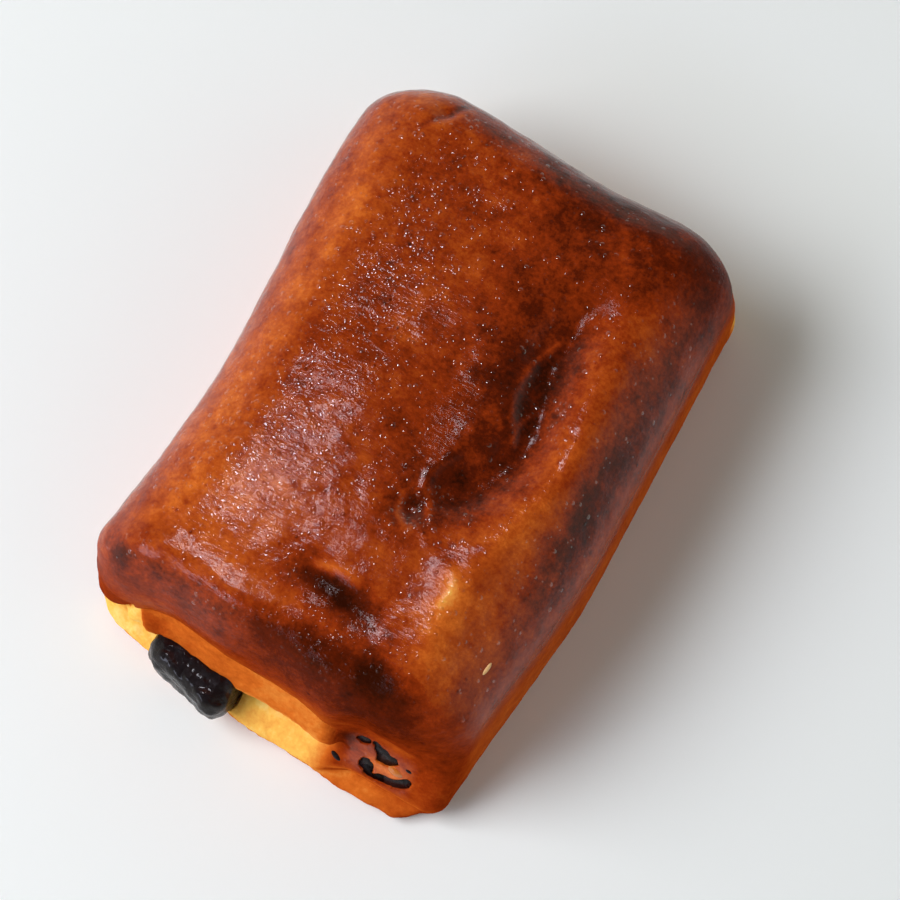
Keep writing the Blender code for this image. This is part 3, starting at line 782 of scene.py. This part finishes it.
def right_stick_shape(cell):
    """The stick whose slanted end lies behind the torn film."""
    places, outward, faces = rounded_bar(RIGHT_STICK_SECTION, RIGHT_STICK_SPAN, cell)
    places += [RIGHT_STICK[0], 0, RIGHT_STICK[1]]
    end_plane = POCKET_SLOPE * places[:, 2] - POCKET_PLANE_OUT + FILM_THICKNESS + GAP
    slanted = 1 - smooth_step(RIGHT_STICK_SPAN[0], RIGHT_STICK_SPAN[0] + SLANT_LENGTH, places[:, 1])
    places[:, 1] += slanted * (end_plane - RIGHT_STICK_SPAN[0])
    return places, outward, faces


def smooth_outline(points):
    """A closed outline through given points, rounded between them."""
    points = np.array(points, float)
    before = np.roll(points, 1, axis=0)
    after = np.roll(points, -1, axis=0)
    beyond = np.roll(points, -2, axis=0)
    start_slope = (after - before) / 2
    end_slope = (beyond - points) / 2
    outline = []
    for share in np.arange(OUTLINE_STEPS) / OUTLINE_STEPS:
        blend = 3 * share ** 2 - 2 * share ** 3
        start_part = share * (1 - share) ** 2
        end_part = share ** 2 * (share - 1)
        outline.append(points + blend * (after - points) + start_part * start_slope + end_part * end_slope)
    return np.stack(outline, 1).reshape(-1, 2)


def grown(outline, distance):
    """A closed outline that runs counterclockwise, moved outwards all round."""
    ahead = np.roll(outline, -1, axis=0) - np.roll(outline, 1, axis=0)
    ahead /= np.linalg.norm(ahead, axis=1)[:, None]
    following = np.roll(outline, -1, axis=0)
    area = np.sum(outline[:, 0] * following[:, 1] - outline[:, 1] * following[:, 0])
    return outline + distance * np.sign(area) * np.stack([ahead[:, 1], -ahead[:, 0]], 1)


def tear_shape(points, growth=TEAR_GROWS, depths=(-TEAR_OUTSIDE, TEAR_INSIDE)):
    """A plug through the film in front of the right stick; it leans down inwards."""
    outline = grown(smooth_outline(points), growth)
    outline += TEAR_RAGGED_DEPTH * noise_at(np.insert(outline, 1, 0, axis=1), TEAR_RAGGED_LENGTH)[:, None]
    count = len(outline)
    places = []
    for inwards in depths:
        for x, z in outline:
            places.append((x, POCKET_SLOPE * z - POCKET_PLANE_OUT + inwards, z - TEAR_LEAN * inwards))
    faces = [list(range(count - 1, -1, -1)), list(range(count, 2 * count))]
    for corner in range(count):
        following = (corner + 1) % count
        faces.append([corner, following, following + count, corner + count])
    return np.array(places, float), faces


def vertex_values(mesh, name):
    """Places or normals of a mesh's vertices, one row for each."""
    values = np.empty(3 * len(mesh.vertices))
    mesh.vertices.foreach_get(name, values)
    return values.reshape(-1, 3)


def set_places(mesh, places):
    """Moves a mesh's vertices to places in millimetres."""
    mesh.vertices.foreach_set("co", (places * MM).ravel())
    mesh.update()


def new_mesh(name, places, faces):
    """A smooth-shaded mesh from places in millimetres."""
    mesh = bpy.data.meshes.new(name)
    mesh.from_pydata((places * MM).tolist(), [], faces)
    mesh.update()
    mesh.shade_smooth()
    return mesh


def new_object(name, mesh, material=None):
    """Puts a mesh into the scene."""
    piece = bpy.data.objects.new(name, mesh)
    bpy.context.scene.collection.objects.link(piece)
    if material:
        mesh.materials.append(material)
    return piece


def cut_all(piece, cutters):
    """Takes the cutters' shapes out of the piece, and removes the cutters."""
    for cutter in cutters:
        modifier = piece.modifiers.new(cutter.name, "BOOLEAN")
        modifier.operation = "DIFFERENCE"
        modifier.solver = "EXACT"
        modifier.object = cutter
    solid = piece.evaluated_get(bpy.context.evaluated_depsgraph_get())
    mesh = bpy.data.meshes.new_from_object(solid)
    piece.modifiers.clear()
    piece.data = mesh
    mesh.shade_smooth()
    for cutter in cutters:
        bpy.data.objects.remove(cutter, do_unlink=True)


def set_attribute(mesh, name, values):
    """Stores one number for each vertex, for the material to read."""
    attribute = mesh.attributes.new(name, "FLOAT", "POINT")
    attribute.data.foreach_set("value", np.asarray(values, float))


def ellipse_share(x, y, centre, half_sizes, turn):
    """1 at the middle of a turned ellipse, falling off smoothly outwards."""
    angle = np.radians(turn)
    along = (x - centre[0]) * np.cos(angle) + (y - centre[1]) * np.sin(angle)
    across = (y - centre[1]) * np.cos(angle) - (x - centre[0]) * np.sin(angle)
    return np.exp(-(along / half_sizes[0]) ** 2 - (across / half_sizes[1]) ** 2)


def crust_browning_and_light(x, y, z):
    """Browning of the glazed crust all round, with painted light and shade from some of the top patches."""
    level = np.full(np.shape(x), CRUST_BAKE)
    for centre, half_sizes, turn, change in TOP_PATCHES:
        level += smooth_step(*TOP_HEIGHTS, z) * change * ellipse_share(x, y, centre, half_sizes, turn)
    # the fine folds are coloured darker where they sink in and paler along their ridges
    for path, depth, half_width in FINE_PATHS:
        level += FOLD_DEPTH_TONE * depth * path_share(path, half_width, x, y)
    level += rise(z, *SIDES_PALER)
    level += smooth_step(*SHOULDER_REACH, -y) * band(z, *SHOULDER_DARKER)
    level += smooth_step(*LIP_REACH, -y) * band(z, *LIP_PALER)
    closed_front = np.maximum(smooth_step(*CLOSED_FRONT_X, x), 1 - smooth_step(*CLOSED_CORNER_X, x))
    closed_front *= smooth_step(*CLOSED_FRONT_REACH, -y) * (1 - smooth_step(*CLOSED_FRONT_HEIGHTS, z))
    level += CLOSED_FRONT_BAKE * closed_front
    for centre, half_sizes, change in FRONT_PATCHES:
        level += change * ellipse_share(x, z, centre, half_sizes, 0) * smooth_step(*FRONT_REACH, -y)
    return level


def end_browning(x, y, z):
    """Browning of the open layers. The back end is a copy of the front turned half round."""
    at_front = y < 0
    x = np.where(at_front, x, -x)
    level = LAYER_BAKE + rise(x, *LAYER_PALER)
    level += band(z, *LAYER_EDGE_PALER)
    level += band(z - curve(LIP_HEIGHT, x), *LIP_LINE_PALER)
    base = BASE_BAKE + sum(rise(x, *darker) for darker in BASE_DARKER)
    foot_to = BASE_FOOT_TO + rise(x, *BASE_FOOT_HIGHER)
    base += BASE_FOOT_DARKER * (1 - smooth_step(BASE_FOOT_FROM, foot_to, z))
    base += band(z, *BASE_EDGE_PALER)
    level += (base - level) * (1 - smooth_step(*BASE_COLOUR_HEIGHTS, z))
    from_flap_edge = x - FLAP_EDGE_X - FLAP_EDGE_LEAN * (FLAP_TOP - z)
    level += band(from_flap_edge, *FLAP_DARKER) * window(FLAP_HEIGHTS, FLAP_FADE, z)
    sliver = at_front * (1 - smooth_step(*SLIVER_EDGE, from_flap_edge)) * smooth_step(*SLIVER_HEIGHTS, z)
    return level + (SLIVER_BAKE - level) * sliver


def in_tunnels(x, y, z):
    """1 on the walls round the hidden sticks."""
    inside = np.zeros(np.shape(x))
    for (middle_x, middle_z), (width, height) in STICKS:
        near = np.abs(x - middle_x) < width / 2 + TUNNEL_MARGINS[0]
        near &= np.abs(z - middle_z) < height / 2 + TUNNEL_MARGINS[1]
        inside = np.maximum(inside, near & (np.abs(y) < TUNNEL_HALF_LENGTH))
    return inside * (1 - smooth_step(*TUNNEL_HEIGHTS, z))


def glaze_thickness(x, y, z, dulled):
    """How much glaze the crust carries; dulled is 1 where the dull patches count, and 0 for the bubbles."""
    glaze = GLAZE_LEAST + (1 - GLAZE_LEAST) * smooth_step(*GLAZE_HEIGHTS, z)
    for less, reach, x_range, heights in THIN_FRONTS:
        share = smooth_step(*reach, -y)
        if x_range:
            share *= smooth_step(*x_range, x)
        if heights:
            share *= 1 - smooth_step(*heights, z)
        glaze *= 1 - less * share
    for centre, half_sizes, less in THIN_PATCHES:
        glaze *= 1 - less * ellipse_share(x, y, centre, half_sizes, 0)
    for centre, half_sizes, less in DULL_PATCHES:
        glaze *= 1 - dulled * less * ellipse_share(x, y, centre, half_sizes, 0)
    film = window(POCKET_SIDES, POCKET_EDGE, x) * window(POCKET_HEIGHTS, POCKET_EDGE, z)
    return np.maximum(glaze, FILM_GLAZE * film * smooth_step(*FRONT_REACH, -y))


def paint_dough(mesh, dulled):
    """Stores how brown each place is, with painted light and shade, how glazed, bubbly and wrinkled it is, and
    the painted shade in the front crease.
    """
    places = vertex_values(mesh, "co") / MM
    x, y, z = places.T
    layers = open_layers(places)
    # browning, with painted light and shade from some top patches
    level = crust_browning_and_light(x, y, z)
    level += layers * (end_browning(x, y, z) - level)
    level += in_tunnels(x, y, z) * (TUNNEL_BAKE - level)
    # painted shade in the crease of the front
    crease_shade = band(x, *CREASE_SHADE_X) * band(z, *CREASE_SHADE_Z) * smooth_step(*CREASE_SHADE_REACH, -y)
    wrinkles = WRINKLES_ELSEWHERE + (1 - WRINKLES_ELSEWHERE) * ellipse_share(x, y, *WRINKLE_ZONE)
    set_attribute(mesh, "browning_and_light", level)
    set_attribute(mesh, "glaze", (1 - layers) * glaze_thickness(x, y, z, dulled))
    set_attribute(mesh, "crease_shade", crease_shade)
    set_attribute(mesh, "bubbles", bubble_share(x, y) * smooth_step(*BUBBLE_HEIGHTS, z))
    set_attribute(mesh, "wrinkles", wrinkles * smooth_step(*WRINKLE_HEIGHTS, z))


class Graph:
    """Short calls that build the nodes of one material. Lengths are in millimetres."""

    def __init__(self, name):
        self.material = bpy.data.materials.new(name)
        self.material.use_nodes = True
        self.nodes = self.material.node_tree.nodes
        self.links = self.material.node_tree.links
        self.shader = self.nodes["Principled BSDF"]
        texture_place = self.nodes.new("ShaderNodeTexCoord").outputs["Object"]
        self.place = self.vector("SCALE", texture_place, scale=1 / MM)

    def fill(self, socket, value):
        """Links a socket to an output, or sets it."""
        if isinstance(value, bpy.types.NodeSocket):
            self.links.new(value, socket)
        else:
            socket.default_value = value

    def set(self, **values):
        """Sets inputs of the Principled shader; an underscore in a name stands for a space."""
        for name, value in values.items():
            self.fill(self.shader.inputs[name.replace("_", " ")], value)

    def vector(self, operation, first, second=None, scale=None):
        """A vector sum or the like."""
        node = self.nodes.new("ShaderNodeVectorMath")
        node.operation = operation
        self.fill(node.inputs[0], first)
        if second is not None:
            self.fill(node.inputs[1], second)
        if scale is not None:
            self.fill(node.inputs["Scale"], scale)
        return node.outputs["Vector"]

    def math(self, operation, first, second=0.0):
        """A sum of two numbers or the like."""
        node = self.nodes.new("ShaderNodeMath")
        node.operation = operation
        self.fill(node.inputs[0], first)
        self.fill(node.inputs[1], second)
        return node.outputs[0]

    def attribute(self, name):
        """A number stored at the vertices."""
        node = self.nodes.new("ShaderNodeAttribute")
        node.attribute_name = name
        return node.outputs["Fac"]

    def noise(self, size, detail=2.0, roughness=0.5, place=None):
        """Noise from -0.5 to 0.5 with features of about the given size."""
        node = self.nodes.new("ShaderNodeTexNoise")
        self.fill(node.inputs["Vector"], place or self.place)
        node.inputs["Scale"].default_value = 1 / size
        node.inputs["Detail"].default_value = detail
        node.inputs["Roughness"].default_value = roughness
        return self.math("SUBTRACT", node.outputs["Fac"], 0.5)

    def between(self, value, low, high, first=0.0, last=1.0):
        """Maps a value from low..high to first..last with a smooth rise, held at the ends."""
        node = self.nodes.new("ShaderNodeMapRange")
        node.interpolation_type = "SMOOTHSTEP"
        self.fill(node.inputs["Value"], value)
        node.inputs["From Min"].default_value = low
        node.inputs["From Max"].default_value = high
        node.inputs["To Min"].default_value = first
        node.inputs["To Max"].default_value = last
        return node.outputs["Result"]

    def spots(self, size, radius, share, place=None):
        """Round spots, 1 in the middle of each: one for each cell of the given size, in a share of them."""
        node = self.nodes.new("ShaderNodeTexVoronoi")
        self.fill(node.inputs["Vector"], place or self.place)
        node.inputs["Scale"].default_value = 1 / size
        parts = self.nodes.new("ShaderNodeSeparateColor")
        self.links.new(node.outputs["Color"], parts.inputs[0])
        profile = self.between(node.outputs["Distance"], 0, radius / size, 1, 0)
        chosen = self.math("LESS_THAN", parts.outputs[0], share)
        strength = self.math("ADD", self.math("MULTIPLY", parts.outputs[1], 0.6), 0.4)
        return self.math("MULTIPLY", self.math("MULTIPLY", profile, chosen), strength)

    def add_scaled(self, total, value, scale):
        """total plus value times scale."""
        return self.math("ADD", total, self.math("MULTIPLY", value, scale))

    def ramp(self, value, stops):
        """A colour for each level; stops are (level, screen colour)."""
        node = self.nodes.new("ShaderNodeValToRGB")
        self.fill(node.inputs["Fac"], value)
        elements = node.color_ramp.elements
        while len(elements) < len(stops):
            elements.new(1)
        for element, (level, colour) in zip(elements, stops):
            element.position = level
            element.color = (*linear(colour), 1)
        return node.outputs["Color"]

    def mix(self, share, first, second):
        """One colour turned into another by a share."""
        node = self.nodes.new("ShaderNodeMix")
        node.data_type = "RGBA"
        self.fill(node.inputs[0], share)
        self.fill(node.inputs[6], first)
        self.fill(node.inputs[7], second)
        return node.outputs[2]

    def bumps(self, height, depth=1.0):
        """A normal from heights in millimetres."""
        node = self.nodes.new("ShaderNodeBump")
        node.inputs["Distance"].default_value = MM * depth
        self.fill(node.inputs["Height"], height)
        return node.outputs["Normal"]


def linear(colour):
    """A screen colour of 0 to 255 as the light values that a shader takes."""
    values = np.array(colour) / 255
    values = np.where(values < 0.04045, values / 12.92, ((values + 0.055) / 1.055) ** 2.4)
    return tuple(values.tolist())


def crust_material(name, coat_roughness, coat_ior):
    """Baked skin, browned with blotches and with painted light and shade, under a thin wrinkled glaze full of
    tiny bubbles; painted shade turns it olive in the front crease.
    """
    graph = Graph(name)
    glaze = graph.attribute("glaze")
    wrinkles = graph.attribute("wrinkles")
    bubbles = graph.attribute("bubbles")
    # browning, with painted light and shade
    level = graph.attribute("browning_and_light")
    small_bubbles = graph.spots(*SMALL_BUBBLES, graph.math("MULTIPLY", bubbles, SMALL_BUBBLE_SHARE))
    large_bubbles = graph.spots(*LARGE_BUBBLES, graph.math("MULTIPLY", bubbles, LARGE_BUBBLE_SHARE))
    blotches = graph.math("MULTIPLY", graph.spots(*FRECKLES), FRECKLE_BAKE)
    # the crust is darker under the larger bubbles
    blotches = graph.add_scaled(blotches, large_bubbles, LARGE_BUBBLE_DARKER)
    for kind, strength in BLOTCHES:
        blotches = graph.add_scaled(blotches, graph.noise(*kind), strength)
    unevenness = graph.add_scaled(UNEVENNESS_LEAST, glaze, 1 - UNEVENNESS_LEAST)
    level = graph.add_scaled(level, blotches, unevenness)
    # painted shade: the colour turns olive where the front crease lies in shade
    colour = graph.mix(graph.attribute("crease_shade"), graph.ramp(level, BAKE_COLOURS), (*linear(PAINTED_CREASE_SHADE), 1))
    stretched = graph.vector("MULTIPLY", graph.place, WRINKLE_SCALE)
    depth = graph.math("MULTIPLY", wrinkles, WRINKLE_DEPTH)
    height = graph.math("MULTIPLY", graph.noise(*WRINKLE_NOISE, stretched), depth)
    for kind, strength in SKIN_NOISE:
        height = graph.add_scaled(height, graph.noise(*kind), strength)
    bare = graph.math("SUBTRACT", 1.0, glaze)
    height = graph.add_scaled(height, graph.noise(*BARE_NOISE), graph.math("MULTIPLY", bare, BARE_DEPTH))
    height = graph.add_scaled(height, small_bubbles, SMALL_BUBBLE_HEIGHT)
    height = graph.add_scaled(height, large_bubbles, LARGE_BUBBLE_HEIGHT)
    normal = graph.bumps(height)
    graph.set(Base_Color=colour, Roughness=MATT_ROUGHNESS, Specular_IOR_Level=0.0, Normal=normal,
              Coat_Weight=glaze, Coat_Roughness=coat_roughness, Coat_IOR=coat_ior, Coat_Normal=normal)
    return graph.material


def chocolate_material(name, coat):
    """Melted and set dark chocolate: almost black and pitted, with a dull bloom that is partly a painted
    bluish sheen, and a few sugar specks.
    """
    graph = Graph(name)
    bloom_and_sheen = graph.between(graph.noise(*BLOOM_AND_SHEEN_NOISE), *BLOOM_AND_SHEEN_RANGE)
    specks = graph.between(graph.spots(*SPECKS), *SPECK_RANGE)
    # the bluish grey is partly real bloom and partly a painted sheen
    colour = graph.mix(graph.math("MULTIPLY", bloom_and_sheen, BLOOM_AND_SHEEN_SHARE), CHOCOLATE_COLOUR, BLOOM_AND_SHEEN_COLOUR)
    colour = graph.mix(specks, colour, SPECK_COLOUR)
    height = graph.math("MULTIPLY", graph.noise(*CHOCOLATE_NOISE), CHOCOLATE_NOISE_HEIGHT)
    height = graph.add_scaled(height, graph.spots(*CHOCOLATE_PITS), -CHOCOLATE_PIT_DEPTH)
    graph.set(Base_Color=colour, Roughness=CHOCOLATE_ROUGHNESS, Specular_IOR_Level=CHOCOLATE_SHEEN,
              Normal=graph.bumps(height), Coat_Weight=coat, Coat_Roughness=SWEET_COAT_ROUGHNESS)
    return graph.material


def floor_material():
    """Plain pale floor with a very soft unevenness."""
    graph = Graph("pale_floor")
    tone = graph.between(graph.noise(*FLOOR_NOISE), *FLOOR_NOISE_RANGE)
    colour = graph.mix(tone, *FLOOR_COLOURS)
    graph.set(Base_Color=colour, Roughness=MATT_ROUGHNESS)
    return graph.material


def add_dough():
    """The crust in full detail, with the tunnels and tears cut out of it."""
    mesh = new_mesh("dough_crust", *dough_shape())
    roughen(mesh)
    dough = new_object("dough_crust", mesh, crust_material("crust_look", *GLAZE_COAT))
    cutters = []
    tunnels = (("left", left_stick_shape, LEFT_STICK_SPAN), ("right", right_stick_shape, RIGHT_STICK_SPAN))
    for name, shape, span in tunnels:
        places, outward, faces = shape(TUNNEL_CELL)
        mesh = new_mesh(name, tunnel_round(places, outward, span[1]), faces)
        cutters.append(new_object("tunnel_" + name, mesh))
    for name, outline in (*FILM_HOLES.items(), ("small", SMALL_TEAR)):
        cutters.append(new_object("tear_" + name, new_mesh(name, *tear_shape(outline))))
    cut_all(dough, cutters)
    paint_dough(dough.data, 1)
    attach(dough, "root")
    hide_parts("dough")
    return dough


def bubble_share(x, y):
    """How many bubbles the glaze has at a place of the top."""
    share = np.full(np.shape(x), FEW_BUBBLES)
    for centre, half_sizes, turn, more in BUBBLE_PATCHES:
        share += more * ellipse_share(x, y, centre, half_sizes, turn)
    return share


def dome(middle, normal, along, half_sizes, rings, sides):
    """Places and faces of a low rounded drop. The half sizes are its length, width and height."""
    length, width, height = half_sizes
    long_way = (along - normal * along.dot(normal)).normalized()
    side_way = normal.cross(long_way)
    places = []
    for ring in range(rings):
        reach = 1 - ring / rings
        rise = 1 - reach ** 2 if ring else -DOME_SINKS
        for turn in np.arange(sides) * 2 * np.pi / sides:
            outward = long_way * (length * np.cos(turn)) + side_way * (width * np.sin(turn))
            places.append(middle + outward * reach + normal * (height * rise))
    places.append(middle + normal * height)
    faces = []
    for ring in range(rings):
        start = ring * sides
        above = start + sides
        for corner in range(sides):
            following = (corner + 1) % sides
            if ring < rings - 1:
                faces.append([start + corner, start + following, above + following, above + corner])
            else:
                faces.append([start + corner, start + following, above])
    return places, faces


def add_bubbles(surface):
    """Tiny bubbles and short wrinkles that stand in the glaze, as real domes that catch the light."""
    draws = np.random.default_rng(BUBBLE_SEED)
    places = []
    faces = []
    reach_x, reach_y = BUBBLE_REACH
    for _ in range(BUBBLE_TRIES):
        x = draws.uniform(-reach_x, reach_x)
        y = draws.uniform(-reach_y, reach_y)
        chance, size_draw, turn_draw, stretch_draw = draws.random(4)
        wrinkled = float(ellipse_share(x, y, *WRINKLE_ZONE))
        if chance > bubble_share(x, y) + WRINKLE_BUBBLES * wrinkled:
            continue
        hit, normal, _, _ = surface.ray_cast(Vector((x, y, ABOVE)) * MM, Vector(DOWN))
        if hit is None or normal.z < BUBBLE_STEEPEST + BUBBLE_STEEPNESS_SPREAD * turn_draw:
            continue
        radius = BUBBLE_SMALLEST + BUBBLE_LARGER * size_draw ** 3
        stretch = 1 + (WRINKLE_STRETCH * wrinkled + BUBBLE_STRETCH) * stretch_draw
        turns = BUBBLE_TURNS - WRINKLE_TURNS_FEWER * wrinkled
        turn = np.radians(WRINKLE_TURN + (turn_draw - 0.5) * turns)
        along = Vector((np.cos(turn), np.sin(turn), 0))
        half_sizes = (radius * stretch, radius, radius ** 2 / (2 * BUBBLE_CURVE))
        new_places, new_faces = dome(hit / MM, normal, along, half_sizes, BUBBLE_RINGS, BUBBLE_SIDES)
        faces += [[corner + len(places) for corner in face] for face in new_faces]
        places += new_places
    mesh = new_mesh("glaze_bubbles", np.array(places, float), faces)
    bubbles = new_object("glaze_bubbles", mesh, crust_material("bubble_look", *BUBBLE_COAT))
    paint_dough(mesh, 0)
    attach(bubbles, "root")


def add_drop(surface, name, start, way, turn, half_sizes, material):
    """One larger drop, smear or flake where a ray from the start meets the surface."""
    hit, normal, _, _ = surface.ray_cast(Vector(start) * MM, Vector(way))
    along = Matrix.Rotation(np.radians(turn), 3, normal) @ Vector((1, 0, 0))
    places, faces = dome(hit / MM, normal, along, half_sizes, DROP_RINGS, DROP_SIDES)
    drop = new_object(name, new_mesh(name, np.array(places, float), faces), material)
    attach(drop, "root")


def sugar_material(name, colour, coat):
    """Set sugar or a loose flake."""
    graph = Graph(name)
    graph.set(Base_Color=(*linear(colour), 1), Roughness=0.5, Coat_Weight=coat, Coat_Roughness=0.12)
    return graph.material


def add_drops(surface):
    """The sugary drop on the torn film, smears of chocolate beside it and the loose flake on the side."""
    looks = {
        "smear_look": chocolate_material("smear_look", 0.0),
        "amber_sugar": sugar_material("amber_sugar", AMBER_SUGAR, 1.0),
        "pale_flake": sugar_material("pale_flake", PALE_FLAKE, 0.0),
    }
    for name, look, start, direction, turn, half_sizes in DROPS:
        add_drop(surface, name, start, direction, turn, half_sizes, looks[look])


def add_pools(material):
    """Melted chocolate that fills the tears of the film from behind."""
    places = []
    faces = []
    for outline in (*FILM_HOLES.values(), SMALL_TEAR):
        new_places, new_faces = tear_shape(outline, POOL_GROWS, (POOL_RECESS, POOL_INSIDE))
        faces += [[corner + len(places) for corner in face] for face in new_faces]
        places += list(new_places)
    mesh = new_mesh("pools", np.array(places), faces)
    pools = new_object("chocolate_in_tears", mesh, material)
    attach(pools, "root")


def add_chocolate():
    """The two sticks, melted at their ends."""
    material = chocolate_material("chocolate_look", STICK_COAT)
    add_pools(chocolate_material("pool_look", POOL_COAT))
    for name, shape in (("left", left_stick_shape), ("right", right_stick_shape)):
        places, _, faces = shape(STICK_CELL)
        piece = new_object("melted_chocolate_" + name, new_mesh(name, places, faces), material)
        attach(piece, "root")
        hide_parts("chocolate_" + name)


def view_axes(azimuth, elevation):
    """Right, up and backward directions of a camera that looks at the roll from an angle."""
    turn = np.radians(azimuth)
    rise = np.radians(elevation)
    back = Vector((np.sin(turn) * np.cos(rise), -np.cos(turn) * np.cos(rise), np.sin(rise)))
    right = Vector((np.cos(turn), np.sin(turn), 0))
    return right, back.cross(right), back


def add_camera():
    """The camera, where the photograph was taken from."""
    right, up, back = view_axes(VIEW_AZIMUTH, VIEW_ELEVATION)
    camera = bpy.data.objects.new("camera", bpy.data.cameras.new("camera"))
    camera.data.lens = LENS
    camera.data.clip_start = 0.01
    place = Vector(VIEW_TARGET) + VIEW_DISTANCE * back
    camera.matrix_world = Matrix.Translation(place) @ Matrix((right, up, back)).transposed().to_4x4()
    bpy.context.scene.collection.objects.link(camera)
    bpy.context.scene.camera = camera


def add_light(name, target, azimuth, elevation, distance, size, power, colour, on_surfaces, in_shine):
    """A soft rectangular light in the given direction from a target."""
    right, up, back = view_axes(azimuth, elevation)
    lamp = bpy.data.lights.new(name, "AREA")
    lamp.shape = "RECTANGLE"
    lamp.size, lamp.size_y = size
    lamp.energy = power
    lamp.color = colour
    light = bpy.data.objects.new(name, lamp)
    light.visible_camera = False
    light.visible_diffuse = on_surfaces
    light.visible_glossy = in_shine
    place = Vector(target) + distance * back
    light.matrix_world = Matrix.Translation(place) @ Matrix((right, up, back)).transposed().to_4x4()
    bpy.context.scene.collection.objects.link(light)


def add_room():
    """An even pale room that is dark overhead, so that the glaze keeps its depth."""
    world = bpy.data.worlds.new("room")
    world.use_nodes = True
    nodes = world.node_tree.nodes
    links = world.node_tree.links
    parts = nodes.new("ShaderNodeSeparateXYZ")
    links.new(nodes.new("ShaderNodeTexCoord").outputs["Generated"], parts.inputs[0])
    ramp = nodes.new("ShaderNodeValToRGB")
    links.new(parts.outputs["Z"], ramp.inputs["Fac"])
    while len(ramp.color_ramp.elements) < len(ROOM_LIGHT):
        ramp.color_ramp.elements.new(1)
    for element, (height, brightness) in zip(ramp.color_ramp.elements, ROOM_LIGHT):
        element.position = height
        element.color = (*(brightness * part for part in ROOM_TINT), 1)
    links.new(ramp.outputs["Color"], nodes["Background"].inputs["Color"])
    bpy.context.scene.world = world


def add_stage():
    """Pale floor, soft window light from the left and an even pale room."""
    floor = new_object("floor", bpy.data.meshes.new("floor"), floor_material())
    corners = ((-1, -1), (1, -1), (1, 1), (-1, 1))
    places = [(x * FLOOR_HALF_SIZE, y * FLOOR_HALF_SIZE, 0) for x, y in corners]
    floor.data.from_pydata(places, [], [(0, 1, 2, 3)])
    add_room()
    bpy.context.scene.view_settings.view_transform = "Standard"
    for light in LIGHTS:
        add_light(*light)


add_camera()
crust_surface = BVHTree.FromObject(add_dough(), bpy.context.evaluated_depsgraph_get())
add_bubbles(crust_surface)
add_drops(crust_surface)
add_chocolate()
add_stage()
